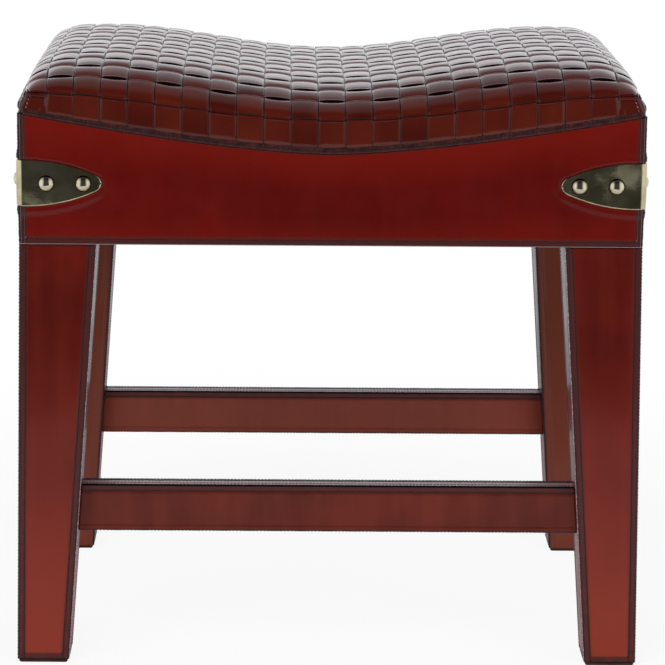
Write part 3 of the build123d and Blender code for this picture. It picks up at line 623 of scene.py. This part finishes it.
def seat_point(u, s):
    """Middle surface of the weave. u runs along the rows, over the rolls and down the ends, in
    metres from the middle; s counts rows: 0 to 1 up the front skirt, 1 to 16 over the crown,
    16 to 17 down the back skirt."""
    u, s = np.broadcast_arrays(np.asarray(u, float), np.asarray(s, float))
    sign = np.where(u < 0, -1.0, 1.0)
    beyond = np.clip(np.abs(u) - FLAT_REACH, 0, ROLL_LENGTH)
    x = sign * (np.minimum(np.abs(u), FLAT_REACH) + np.interp(beyond, ROLL_TRAVEL, ROLL_X))
    roll = 1 - np.interp(beyond, ROLL_TRAVEL, ROLL_Z) / END_HEIGHT
    row = np.clip(s - 1, 0, ROWS) / ROWS
    y = np.interp(row * PROFILE_LENGTH, PROFILE_TRAVEL, PROFILE_Y)
    z = skirt_top(x) + (crest(x) - skirt_top(x)) * (1 - crown_drop(y) / CROWN_HEIGHT) * roll
    skirt = np.clip(np.maximum(1 - s, s - 1 - ROWS), 0, 1)
    z = z + (seam(x) - z) * skirt
    hang = np.clip((np.abs(u) - ROLL_END) / END_SKIRT, 0, 1.2)
    z = z + (end_seam(y) - z) * hang
    near_corner = np.abs(y / HALF_DEPTH) ** 8 * np.abs(x / HALF_WIDTH) ** 6
    pull = CORNER_INSET * near_corner * (1 - 0.5 * hang)
    x = x + sign * (END_FLARE * hang - pull * (1 - skirt))
    return np.stack([x, y, z], axis=-1)


def seat_normal(u, s):
    du, ds = 0.0004, 0.02
    along = seat_point(u + du, s) - seat_point(u - du, s)
    across = seat_point(u, s + ds) - seat_point(u, s - ds)
    return unit(np.cross(along, across))


def strap_side(column, row):
    """+1 where the front-to-back strap passes over, -1 where it passes under."""
    return 1 if (column + row) % 2 == 0 else -1


def swing(phase, sides):
    """Height of a strap in the weave, from -1 to 1, where phase counts crossings."""
    index = np.clip(np.floor(phase).astype(int), 0, len(sides) - 1)
    wave = np.abs(np.sin(math.pi * (phase - np.floor(phase))))
    return np.asarray(sides, float)[index] * wave ** SWING_POWER


def strap_section(width):
    """Section of a strap: (across, up, edge) points round it, with an arched top and cut edges."""
    half = width / 2
    left = [(d / half - 1, lift, edge) for d, lift, edge in STRAP_LIP]
    left += [(share, 0.0, 0.0) for share in (-0.5, -0.2)]
    right = [(-share, lift, edge) for share, lift, edge in left[::-1]]
    top = [
        (share * half, STRAP_THICKNESS / 2 - STRAP_ARCH * share ** 2 + lift, edge)
        for share, lift, edge in left + [(0.0, 0.0, 0.0)] + right
    ]
    bottom = [
        (share * half, -STRAP_THICKNESS / 2 - STRAP_ARCH * share ** 2, 1.0)
        for share in (0.99, 0.4, -0.4, -0.99)
    ]
    return np.array(top + bottom)


def weave_band(build, centre_u, centre_s, across_u, across_s, width, lifts, shade, cup=0.0):
    """One strap, with its middle through (centre_u, centre_s) and (across_u, across_s) as its
    width on the surface. lifts are its heights in the weave, cup is how far its middle is pressed
    down. At the front and back seams it goes in under the welt."""
    section = strap_section(width)
    across, up, edge = section.T[:, None, :]
    u = centre_u[:, None] + across_u * across / width
    s = centre_s[:, None] + across_s * across / width
    seam_near = np.minimum(s, ROWS + 2 - s)
    free = np.clip((seam_near - TUCK_ROWS) / TUCK_RAMP, 0, 1)
    calm = SKIRT_SWING + (1 - SKIRT_SWING) * np.clip((seam_near - CALM_START) / CALM_REACH, 0, 1)
    free = free * free * (3 - 2 * free) * calm
    hollow = np.reshape(cup, (-1, 1)) * (1 - (2 * across / width) ** 2)
    tucked = TUCK_DEPTH * (1 - np.minimum(free / SKIRT_SWING, 1))
    up = up + (lifts[:, None] - hollow) * free - tucked
    points = seat_point(u, s) + seat_normal(u, s) * up[..., None]
    # Painted shade: a strap is darkened where it dives under the strap that crosses it
    dip_shade = np.clip(-lifts / WEAVE_SWING, 0, 1)[:, None]
    build.tube(points, edge=np.clip(edge + DIP_SHADE * dip_shade, 0, 1), shade=shade[:, None])


def square_shade(phase, count):
    """A slightly different tone for each square of a strap."""
    tones = rng.uniform(0.0, 1.0, count)
    return np.interp(phase, np.arange(count) + 0.5, tones)


def lengthwise_strap(build, column, centre, width, s, height, cup=0.0):
    """A strap from front to back, or along an end, at a distance from the seat's middle."""
    sides = [strap_side(column, row) for row in range(ROWS + 2)]
    lifts, shade = swing(s, sides) * height, square_shade(s, ROWS + 2)
    weave_band(build, np.full_like(s, centre), s, width, 0.0, width, lifts, shade, cup)


def crosswise_strap(build, row, columns, u, phase, share, width):
    """A strap that runs along a row over the given columns and fills a share of its pitch."""
    sides = [-strap_side(column, row) for column in columns]
    lifts, shade = swing(phase, sides) * WEAVE_SWING, square_shade(phase, len(columns))
    weave_band(build, u, np.full_like(u, row + 0.5), 0.0, -share, width, lifts, shade)


def weave_seat():
    long_build, cross_build, end_build = Build(), Build(), Build()
    for column in range(COLUMNS):
        low = (column - COLUMNS / 2) * COLUMN_PITCH
        low, high = low + STRAP_GAP / 2, low + COLUMN_PITCH - STRAP_GAP / 2
        first = SIDE_STRAP_START if column in (0, COLUMNS - 1) else 0.0
        rows = ROWS + 2 - 2 * first
        s = np.linspace(first, ROWS + 2 - first, int(rows * CROSSING_STEPS) + 1)
        cup = CUP_DEPTH * bell(np.abs(s - np.round(s)), CUP_REACH)
        lengthwise_strap(long_build, column, (low + high) / 2, high - low, s, LONG_SWING, cup)

    bends = [-END_REACH, -HALF_WIDTH, HALF_WIDTH, END_REACH]
    u = np.concatenate([
        np.linspace(*bends[:2], 9)[:-1],
        np.linspace(*bends[1:3], COLUMNS * CROSSING_STEPS + 1),
        np.linspace(*bends[2:], 9)[1:],
    ])
    phase = np.interp(u, bends, [0, 1, COLUMNS + 1, COLUMNS + 2])
    width, columns = ROW_PITCH - STRAP_GAP, range(-1, COLUMNS + 1)
    for row in range(1, ROWS + 1):
        crosswise_strap(cross_build, row, columns, u, phase, width / ROW_PITCH, width)
    reach = HALF_WIDTH - COLUMN_PITCH * SKIRT_ROW_INSET
    u = np.linspace(-reach, reach, (COLUMNS - 2) * CROSSING_STEPS + 1)
    phase = (u + HALF_WIDTH) / COLUMN_PITCH
    share, width = SKIRT_ROW_SHARE, SKIRT_HEIGHT * SKIRT_ROW_SHARE
    for row in (0, ROWS + 1):
        crosswise_strap(cross_build, row, range(COLUMNS), u, phase, share, width)

    low, high = HALF_WIDTH + STRAP_GAP / 2, END_REACH - END_STRAP_GAP
    first, last = 1 + END_STRAP_INSET, ROWS + 1 - END_STRAP_INSET
    s = np.linspace(first, last, ROWS * CROSSING_STEPS + 1)
    for sign, column in ((-1, -1), (1, COLUMNS)):
        centre = sign * (low + high) / 2
        lengthwise_strap(end_build, column, centre, high - low, s, WEAVE_SWING)

    for build, kind in ((long_build, "long"), (cross_build, "cross"), (end_build, "end")):
        build.piece(f"woven_straps_{kind}", WOVEN, f"seat_straps_{kind}", slot="leather_woven")


# Leather that is folded round a core and sewn along its edges

def notches(travel):
    """Outline of an edge nipped by each stitch: 0.4 between stitches, down to -1 at each."""
    return 0.4 - 1.4 * np.clip(np.cos(2 * math.pi * travel / STITCH_PITCH), 0, 1) ** 2


def face_normals(corners):
    """Outward normals of the four faces of a bar at each step along it."""
    centre = corners.mean(axis=1)
    normals = []
    for k in range(4):
        start, end = corners[:, k], corners[:, (k + 1) % 4]
        along = unit(end - start)
        out = (start + end) / 2 - centre
        normals.append(unit(out - along * np.sum(out * along, axis=1, keepdims=True)))
    return normals


def sewn_bar(corners, travel, wear=0.0, hem=0.0, plain=(), bare=(), lit=None, reflecting=()):
    """A leather-wrapped bar. corners holds the corners of its section at each step along it,
    travel the distance, wear how pale it is there from rubbing and from painted light,
    hem how dark it is there. Face k lies between corners k and k + 1. Faces in plain and corners
    in bare have no stitches and a thin dark edge; face lit has a painted highlight on a ridge at
    its first corner; faces in reflecting are pale with a painted reflection."""
    build, threads = Build(), Build()
    serrated = SERRATION * notches(travel)[:, None]
    normals = face_normals(corners)
    columns, tones, brown = [], [], []

    def shown(tone, d, k, corner):
        # Painted highlight: near-white dashes on the lit face's ridge, between the stitch notches
        if k == corner == lit and RIDGE_START < d < RIDGE_END:
            return np.where(notches(travel) > RIDGE_NOTCH, RIDGE_HIGHLIGHT, RIDGE_GAP_TONE)
        if k == corner == lit and RIDGE_START < d < BAND_END:
            tone = 1.0
        # Painted reflection: such a face is pale behind its black edges
        elif k in reflecting:
            tone = REFLECTION_TONE if d > (REFLECTION_NEAR if corner == k else REFLECTION_FAR) else 1.0
        elif k in plain or corner in bare:
            tone = tone * np.interp(d, *THIN_EDGE)
        return np.full(len(travel), tone)

    for k in range(4):
        start, end = corners[:, k], corners[:, (k + 1) % 4]
        along, normal = unit(end - start), normals[k]
        reach = 0.45 * np.linalg.norm(end - start, axis=1).min()
        profile = [(d * MM, h * MM, tone) for d, h, tone in SEWN_STEPS if d * MM < reach]
        brown += [PLAIN_BROWN if k in plain else 0.0] * (2 * len(profile))
        lifts = [h + serrated for d, h, tone in profile[:SERRATED_STEPS]]
        lifts += [h for d, h, tone in profile[SERRATED_STEPS:]]
        for index, (d, h, tone) in enumerate(profile):
            out = normal + normals[k - 1] if index == 0 else normal
            columns.append(start + along * d + out * lifts[index])
            tones.append(shown(tone, d, k, k))
        columns.append((start + end) / 2 + normal * PILLOW)
        tones.append(np.full(len(travel), REFLECTION_TONE if k in reflecting else 0.0))
        for index in range(len(profile) - 1, 0, -1):
            d, h, tone = profile[index]
            columns.append(end - along * d + normal * lifts[index])
            tones.append(shown(tone, d, k, (k + 1) % 4))
        for corner, base, inward in ((k, start, along), ((k + 1) % 4, end, -along)):
            if k not in plain and corner not in bare:
                stitch_line(threads, base + inward * STITCH_INSET, normal)
    wear, hem = (np.reshape(value, (-1, 1)) for value in (wear, hem))
    edge = np.maximum(np.stack(tones, axis=1), hem * (np.array(brown) == 0))
    build.tube(np.stack(columns, axis=1), edge=edge, wear=wear, brown=brown)
    return build, threads


def leg_outer_x(z):
    return HALF_WIDTH + LEG_FOOT_OUTSET * (1 - z / LEG_LENGTH)


def taper(z, foot, top):
    return foot + (top - foot) * z / LEG_LENGTH


def leg_inner_x(z):
    return leg_outer_x(z) - taper(z, *LEG_WIDTHS)


def leg_inner_y(z):
    return LEG_OUTER_Y - taper(z, *LEG_DEPTHS)


def leg(corner, sign_x, sign_y):
    z = np.linspace(SOLE_THICKNESS, LEG_LENGTH - JOINT_GAP, LEG_STEPS)
    outer, inner, inner_y = leg_outer_x(z), leg_inner_x(z), leg_inner_y(z)
    section = ((outer, LEG_OUTER_Y), (inner, LEG_OUTER_Y), (inner, inner_y), (outer, inner_y))
    corners = np.stack([joined(x, y, z) for x, y in section], axis=1) * (sign_x, sign_y, 1)
    rise = z - SOLE_THICKNESS
    hem, wear = np.interp(rise, *FOOT_HEM), np.interp(rise, *FOOT_WEAR)
    # Face 1 gets a painted highlight on the ridge at its first corner
    build, threads = sewn_bar(corners, z, wear, hem, plain=(2,), lit=1)
    normals = face_normals(corners)
    row = int(np.searchsorted(rise, HEM_STITCH))
    for k in (0, 1, 3):
        start, end = corners[row, k], corners[row, (k + 1) % 4]
        inset = unit(end - start) * STITCH_INSET
        path = np.array([start + inset, (start + end) / 2, end - inset])
        stitch_line(threads, path, normals[k][row])
    build.piece(f"leg_leather_{corner}", LEG_LEATHER, f"leg_cover_{corner}")
    threads.piece(f"leg_stitches_{corner}", DARK_THREAD)


def stretcher(side, sign_y, wear):
    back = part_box("stretcher_cover_back")
    middle = sign_y * float(back[0][1] + back[1][1]) / 2
    share = np.linspace(-1, 1, STRETCHER_STEPS)
    half = STRETCHER_THICKNESS / 2
    low, high = STRETCHER_BOTTOM, STRETCHER_BOTTOM + STRETCHER_HEIGHT
    corners = np.stack([
        joined(share * (leg_inner_x(z) - JOINT_GAP), middle + y, z)
        for y, z in ((-half, high), (half, high), (half, low), (-half, low))
    ], axis=1)
    travel = share * leg_inner_x(low)
    # The top face is pale with a painted reflection
    build, threads = sewn_bar(corners, travel, wear, bare=(2, 3), reflecting=(0,))
    build.piece(f"stretcher_leather_{side}", STRETCHER_LEATHER, f"stretcher_cover_{side}")
    threads.piece(f"stretcher_stitches_{side}", DARK_THREAD)


# Apron panels, with their hems, corner seams and the leather pressed up round the brass

def leaf_half(distance):
    """Half height of a brass leaf at a distance from the corner: an arc through three points."""
    x1, x2 = BRASS_LENGTH * 0.55, BRASS_LENGTH
    y0, y1, y2 = (BRASS_HEIGHT / 2 * share for share in LEAF_SHARES)
    b, d = y1 - y0, y2 - y0
    e, f = x1 * x1 + b * (y0 + y1), x2 * x2 + d * (y0 + y2)
    g = 2 * (x1 * (y2 - y1) - b * (x2 - x1))
    centre_x, centre_y = (d * e - b * f) / g, (x1 * f - x2 * e) / g
    radius = math.hypot(centre_x, y0 - centre_y)
    return centre_y + np.sqrt(radius ** 2 - (np.clip(distance, 0, BRASS_LENGTH) - centre_x) ** 2)


def pucker(distance, z):
    """Height of the leather round a brass leaf: pressed down under it, raised beside it."""
    up = np.abs(z - BRASS_MIDDLE)
    past_tip = np.hypot(distance - BRASS_LENGTH, up)
    gap = np.where(distance < BRASS_LENGTH, up - leaf_half(distance), past_tip)
    raised = PUCKER_RISE * bell(gap - PUCKER_GAP, PUCKER_REACH)
    return np.where(gap < PRESS_MARGIN, -PRESS_DEPTH, raised)


def panel_columns(half, post):
    """Positions along a panel: close together near its ends, and at the sides of the posts."""
    near = [d * MM for d, h, tone in APRON_STEPS]
    near += [NEAR_START + NEAR_STEP * index for index in range(NEAR_COUNT)]
    far = np.linspace(near[-1] + FAR_GAP, half, int((half - near[-1]) / FAR_STEP))
    distance = np.concatenate([near, far])
    posts = [side + step for side in (-post, post) for step in (-POST_STEP, POST_STEP)]
    return np.sort(np.concatenate([distance - half, half - distance[:-1], posts]))


def apron_panel(name, half, top, place, post, node):
    """One panel: top(a) is the height of its upper edge, place(a, out, z) a point of it."""
    a = panel_columns(half, post)
    distance = half - np.abs(a)
    steps = np.array(APRON_STEPS) * (MM, MM, 1)
    side_out = np.interp(distance, steps[:, 0], steps[:, 1])
    side_tone = np.interp(distance, steps[:, 0], steps[:, 2])
    serrated = SERRATION * np.where(distance < SERRATED_REACH, 1.0, 0.0)
    height = top(a) - LEG_LENGTH
    beside_post = np.abs(a) < post
    reach = np.where(beside_post, PANEL_TURN_IN, PANEL_THICKNESS)

    def face_row(rise, out, tone):
        z = LEG_LENGTH + rise
        lift = out + side_out + pucker(distance, z) + serrated * notches(z)
        return lift, rise, np.maximum(tone, side_tone)

    rows = [
        (-reach, 0.0, 1.0), (-0.0030 * beside_post - 0.0012, 0.0, 0.6),
        (-0.0007, 0.0001, 0.2), (-0.00015, 0.0005, 0.15),
    ]
    rows += [face_row(*row) for row in HEM_ROWS]
    rows += [
        face_row(PANEL_START + (height - PANEL_START - PANEL_END) * share, 0.0002, 0.0)
        for share in np.linspace(0, 1, PANEL_ROWS)
    ]
    rows += [face_row(height - drop, out, tone) for drop, out, tone in SEAM_ROWS]
    inside = -PANEL_THICKNESS
    rows += [(inside, height, 1.0), (inside, PANEL_THICKNESS, 1.0), (-reach, 0.0016, 1.0)]
    build, threads, hem_threads = Build(), Build(), Build()
    build.tube(
        np.stack([place(a, out, LEG_LENGTH + rise) for out, rise, tone in rows], axis=1),
        edge=np.stack([np.broadcast_to(tone, a.shape) for out, rise, tone in rows], axis=1),
        wear=np.stack([np.interp(rise / height, *PANEL_WEAR) for out, rise, tone in rows], axis=1),
    )
    normal = outward(place)
    z = np.linspace(LEG_LENGTH + HEM_STITCH, LEG_LENGTH + height[0] - 0.003, 60)
    clear = BRASS_HEIGHT / 2 + 0.001
    for sign in (-1, 1):
        for part in (z[z < BRASS_MIDDLE - clear], z[z > BRASS_MIDDLE + clear]):
            stitch_line(threads, place(sign * (half - STITCH_INSET), -0.0001, part), normal)
    line = np.linspace(-half + STITCH_INSET, half - STITCH_INSET, 200)
    stitch_line(hem_threads, place(line, 0.0, LEG_LENGTH + HEM_STITCH), normal)
    build.piece(name, LEATHER, node)
    threads.piece(name.replace("panel", "stitches"), THREAD)
    hem_threads.piece(name.replace("panel", "hem_stitches"), DARK_THREAD)


def outward(place):
    """Direction out of the side of which place gives the points."""
    return unit(place(0.0, 1.0, 0.0) - place(0.0, 0.0, 0.0))


def front_place(sign_y):
    """Points of the front or back, from the distance along it, out of it and the height."""
    return lambda a, out, z: joined(a, sign_y * (HALF_DEPTH + out), z)


def end_place(sign_x):
    """Points of the left or right end, given in the same way."""
    return lambda a, out, z: joined(sign_x * (HALF_WIDTH + out), a, z)


def welt(name, line, top, place):
    """A dark sewn welt under the weave, along a line at the height top(a)."""
    build, threads = Build(), Build()
    ripple = sum(height * np.sin(2 * math.pi * line / length) for height, length in WELT_WAVES)
    build.tube(np.stack([
        place(line, out + (ripple if out > 0.0005 else 0), top(line) + z) for out, z in WELT_SECTION
    ], axis=1))
    stitch_line(threads, place(line, 0.0012, top(line) + 0.0028), outward(place))
    build.piece(name, WELT)
    threads.piece(name + "_stitches", DARK_THREAD)


def round_corner(travel, side_x, radius):
    """Place in the plan at a distance past the apron's corner, and the direction out of it."""
    bend = np.clip((travel + radius) / (2 * radius), 0, 1) * math.pi / 2
    out_x, out_y = math.sin(bend), math.cos(bend)
    if abs(travel) < radius:
        x, y = side_x - radius + radius * out_x, HALF_DEPTH - radius + radius * out_y
    else:
        x, y = side_x - max(-travel, 0), HALF_DEPTH - max(travel, 0)
    return x, y, out_x, out_y


def flap_top(x, distance):
    """Height to which a flap rises beside the weave, rounded down towards the corner."""
    near = max(FLAP_CORNER - distance, 0)
    return skirt_top(x) + FLAP_OVER - (FLAP_CORNER - math.sqrt(FLAP_CORNER ** 2 - near ** 2)) * 0.8


def corner_flap(name, sign_x, sign_y):
    """The apron's leather drawn up over a corner of the seat."""
    along = np.concatenate([
        np.linspace(-FLAP_FRONT, -FLAP_FLAT, 22), np.linspace(-FLAP_BEND, FLAP_BEND, 7),
        np.linspace(FLAP_FLAT, FLAP_END, 20),
    ])
    rise = np.concatenate([np.linspace(0, 1, 14), 1 + np.linspace(0.1, 1, 9)])
    outer, tones = [], []
    for a in along:
        x, y, out_x, out_y = round_corner(a, FLAP_X, FLAP_BEND)
        low = (seam(x) if a <= 0 else end_seam(y)) - FLAP_UNDER
        wall = flap_top(x, abs(a)) - FLAP_ROUND - low
        column = []
        for b in rise:
            turn = np.clip(b - 1, 0, 1) * FLAP_TURN
            lean = FLAP_LEAN * min(b, 1) ** 2
            out = (FLAP_OUT + FLAP_TUCK) * min(b * 2.5, 1) - FLAP_TUCK
            out += FLAP_ROUND * (math.cos(turn) - 1) + sum(
                height * bell(abs(a) - place, width) * bell(b - middle, reach)
                for place, width, height, middle, reach in FLAP_FOLDS
            )
            z = low + wall * min(b, 1) + FLAP_ROUND * math.sin(turn)
            column.append((x + out_x * out - lean, y + out_y * out - 0.4 * lean, z))
        outer.append(column)
        ends = bell(a + FLAP_FRONT, FLAP_EDGE), bell(a - FLAP_END, FLAP_EDGE)
        edge = max(bell(abs(a), FLAP_CREASE), *ends)
        tones.append([
            max(edge, np.clip((b - 1.35) / 0.4, 0, 1) * 0.9, np.interp(b, [0, 0.12], [0.4, 0]))
            for b in rise
        ])
    outer, tones = np.array(outer), np.array(tones)
    inner = outer - (FLAP_THICKNESS, FLAP_THICKNESS, 0.0006)
    rings = np.concatenate([outer, inner[:, ::-1]], axis=1) * (sign_x, sign_y, 1)
    build, threads = Build(), Build()
    build.tube(rings, edge=np.concatenate([tones, np.ones_like(tones)], axis=1), shade=FLAP_SHADE)
    for place, normal in ((-STITCH_INSET, (0, sign_y, 0)), (STITCH_INSET, (sign_x, 0, 0))):
        nearest = int(np.argmin(np.abs(along - place)))
        stitch_line(threads, outer[nearest, 1:16] * (sign_x, sign_y, 1), normal)
    build.piece(name, WOVEN)
    threads.piece(name + "_stitches", THREAD)


# Brass corner straps with soft rims, and their domed rivets

def brass_strap(name, sign_x, sign_y, node):
    blunt = BRASS_LENGTH - BRASS_TIP
    cap = BRASS_TIP * np.sin(np.linspace(0, math.pi / 2, 9))[1:]
    side = np.concatenate([
        np.linspace(0.0, BRASS_BEND, 9)[:-1], np.linspace(BRASS_BEND, blunt, 44), blunt + cap,
    ])
    rings = []
    for travel in np.concatenate([-side[::-1], side[1:]]):
        distance = abs(travel)
        half = float(leaf_half(distance))
        if distance > blunt:
            half *= math.sqrt(max(1 - ((distance - blunt) / BRASS_TIP) ** 2, 0.01))
        x, y, out_x, out_y = round_corner(travel, HALF_WIDTH, BRASS_BEND)
        rim = min(BRASS_RIM, half * 0.4)
        sag = 0.00012 * math.sin(distance * 160 + sign_x) + 0.00010 * math.sin(distance * 310)
        upper = [(half * 0.5, 0.00175 + sag)]
        upper += [(half - rim * share, out) for share, out in BRASS_EDGE]
        section = [(-up, out) for up, out in upper[::-1]] + [(0.0, 0.0018 + sag)] + upper
        rings.append([(x + out_x * out, y + out_y * out, BRASS_MIDDLE + up) for up, out in section])
    build = Build()
    build.tube(np.array(rings) * (sign_x, sign_y, 1))
    build.piece(name, BRASS, node, slot="brass")


def rivet_profile():
    """Section of a rivet head: a thin seating ring, a shoulder and a dome, with tones for a painted
    shadow round its foot.
    """
    profile = [(RIVET_RADIUS * share, up, tone) for share, up, tone in RIVET_SEAT]
    dome = RIVET_HEIGHT - RIVET_SHOULDER
    for index, t in enumerate(np.linspace(0.06, math.pi / 2 - 0.06, 14)):
        up = RIVET_SHOULDER + dome * math.sin(t)
        profile.append((RIVET_RADIUS * math.cos(t), up, 1.0 if index == 0 else 0.0))
    return profile


def rivet(build, offset, axis, signs):
    """One head on the leaf that runs along the given axis, at an offset from the corner."""
    turn = np.linspace(0, 2 * math.pi, 36, endpoint=False)
    rings, tones = [], []
    for radius, up, tone in rivet_profile():
        across, rise = radius * np.cos(turn) - offset, radius * np.sin(turn)
        out = BRASS_THICKNESS + up
        x, y = (across, out) if axis == "x" else (out, across)
        ring = joined(HALF_WIDTH + x, HALF_DEPTH + y, rise)
        rings.append(ring * signs + (0, 0, BRASS_MIDDLE))
        tones.append([tone])
    build.tube(np.array(rings), rim=tones)


# Inside the seat

def seat_cushion():
    """The cushion under the weave, seen only between the straps."""
    u = np.linspace(CUSHION_INSET - ROLL_END, ROLL_END - CUSHION_INSET, 90)
    s = np.linspace(1 - CUSHION_SKIRT, ROWS + 1 + CUSHION_SKIRT, 60)
    u, s = np.meshgrid(u, s, indexing="ij")
    top = seat_point(u, s) - seat_normal(u, s) * CUSHION_DEPTH
    bottom = top.copy()
    bottom[..., 2] = seam(top[..., 0]) - RAIL_DROP + DECK_THICKNESS + DECK_GAP
    top[..., 2] = np.maximum(top[..., 2], bottom[..., 2] + CUSHION_INSET)
    pad = Build()
    pad.tube(np.concatenate([top, bottom[:, ::-1]], axis=1))
    piece = pad.piece("seat_cushion", CUSHION_COVER, "seat_pad", slot="foam")


def dress_frame():
    """Materials for the solids of the frame that stay in the scene."""
    wooden = ("stretcher_core_", "rail_", "corner_block_front", "corner_block_back")
    for names, material in (
        (("leg_sole_",), SOLE), (("leg_core_",), POST_WOOD), (wooden, WOOD), (("seat_deck",), PLY),
        (("dust_cover",), CLOTH), (("corner_block_screws", "dust_cover_tacks"), STEEL),
    ):
        for node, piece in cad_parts.items():
            if node.startswith(names):
                piece.data.materials.clear()
                piece.data.materials.append(material)


def build_stool():
    weave_seat()
    for corner, signs in CORNERS.items():
        leg(corner, *signs)
    stretcher("front", -1, 0.05)
    # The back stretcher is painted paler than the front one, as if more light fell on it
    stretcher("back", 1, 0.5)
    post_x = float(leg_inner_x(LEG_LENGTH)) + POST_GAP
    post_y = float(leg_inner_y(LEG_LENGTH)) + POST_GAP
    sides = (
        ("front", front_place(-1), HALF_WIDTH, seam, post_x),
        ("back", front_place(1), HALF_WIDTH, seam, post_x),
        ("left", end_place(-1), HALF_DEPTH - END_PANEL_INSET, end_seam, post_y),
        ("right", end_place(1), HALF_DEPTH - END_PANEL_INSET, end_seam, post_y),
    )
    for side, place, half, top, post in sides:
        apron_panel(f"apron_panel_leather_{side}", half, top, place, post, f"apron_panel_{side}")
    for side, place, half, top, post in sides:
        reach, count = (WELT_SIDE_REACH, 700) if top is seam else (WELT_END_REACH, 500)
        welt(f"welt_{side}", np.linspace(-reach, reach, count), top, place)
    for corner, signs in CORNERS.items():
        corner_flap(f"corner_flap_{corner}", *signs)
    rivets = Build()
    for corner, signs in CORNERS.items():
        for offset in RIVET_OFFSETS:
            for axis in "xy":
                rivet(rivets, offset, axis, (*signs, 1))
        brass_strap(f"brass_strap_{corner}", *signs, f"corner_strap_{corner}")
    rivets.piece("brass_rivets", RIVET, "corner_strap_rivets", slot="brass")
    seat_cushion()
    dress_frame()


# Stage, light and camera

def add_camera():
    data = bpy.data.cameras.new("camera")
    data.sensor_width = 36.0
    data.lens = CAMERA_LENS
    data.shift_x = CAMERA_SHIFT
    camera = placed("camera", data)
    pitch = Matrix.Rotation(math.radians(90 - CAMERA_DOWN), 4, "X")
    roll = Matrix.Rotation(math.radians(CAMERA_ROLL), 4, "Z")
    camera.matrix_world = Matrix.Translation(CAMERA_PLACE) @ pitch @ roll
    bpy.context.scene.camera = camera


def add_lamp(name, location, target, size, power, mirrored=True):
    data = bpy.data.lights.new(name, "AREA")
    data.shape = "RECTANGLE"
    data.size, data.size_y = size
    data.energy = power
    lamp = placed(name, data)
    lamp.location = location
    lamp.rotation_euler = (Vector(location) - Vector(target)).to_track_quat("Z", "Y").to_euler()
    lamp.visible_glossy = mirrored


def add_world():
    """A studio with bright walls behind and beside the stool, a dim ceiling and a dark front."""
    g = Graph("studio", "worlds", "ShaderNodeOutputWorld")
    place = g.add("ShaderNodeTexCoord").outputs["Generated"]
    x, y, z = g.add("ShaderNodeSeparateXYZ", {0: place}).outputs
    wall = g.span(y, -0.15, 0.3, 0.05, 0.78)
    sides = g.span(g.math("ABSOLUTE", x, 0.0), 0.36, 0.68, 0.04, 0.85)
    ceiling = g.span(z, 0.35, 0.85, 1.0, 0.4)
    strength = g.times(g.math("MAXIMUM", wall, sides), ceiling)
    studio = g.add("ShaderNodeBackground", {"Color": (0.93, 0.95, 1, 1), "Strength": strength})
    white = g.add("ShaderNodeBackground", {"Color": (1, 1, 1, 1)})
    camera_ray = g.add("ShaderNodeLightPath").outputs["Is Camera Ray"]
    bpy.context.scene.world = g.close(g.mix_shaders(camera_ray, studio, white))


def add_floor():
    """A round white floor that passes into the white studio before its edge."""
    g = Graph("studio_floor")
    diffuse = g.add("ShaderNodeBsdfDiffuse", {"Color": (0.92, 0.92, 0.92, 1), "Roughness": 0.5})
    glow = g.add("ShaderNodeEmission", {"Color": (1, 1, 1, 1), "Strength": 1.0})
    path = g.add("ShaderNodeLightPath")
    reach = g.add("ShaderNodeVectorMath", {0: g.place()}, operation="LENGTH").outputs["Value"]
    white = g.span(reach, 0.35, FLOOR_RADIUS * 0.85, FLOOR_SEEN, 1.0)
    seen = g.times(path.outputs["Is Camera Ray"], white)
    g.close(g.mix_shaders(seen, diffuse, glow))
    turn = np.linspace(0, 2 * math.pi, 96, endpoint=False)
    rim = [(FLOOR_RADIUS * math.cos(t), FLOOR_RADIUS * math.sin(t), 0) for t in turn]
    mesh = bpy.data.meshes.new("floor")
    mesh.from_pydata(rim, [], [tuple(range(len(rim)))])
    mesh.materials.append(g.owner)
    floor = placed("floor", mesh)


build_stool()
add_camera()
add_world()
add_floor()
add_lamp("key", (-1.3, -2.6, 2.3), (0, 0, 0.3), (2.6, 1.8), 48, mirrored=False)
add_lamp("fill", (1.8, -2.3, 1.3), (0, 0, 0.3), (1.8, 1.6), 22, mirrored=False)
add_lamp("back", (0.0, 3.2, 1.15), (0, 0, 0.4), (6.0, 1.7), 14)
bpy.context.scene.view_settings.view_transform = "Standard"
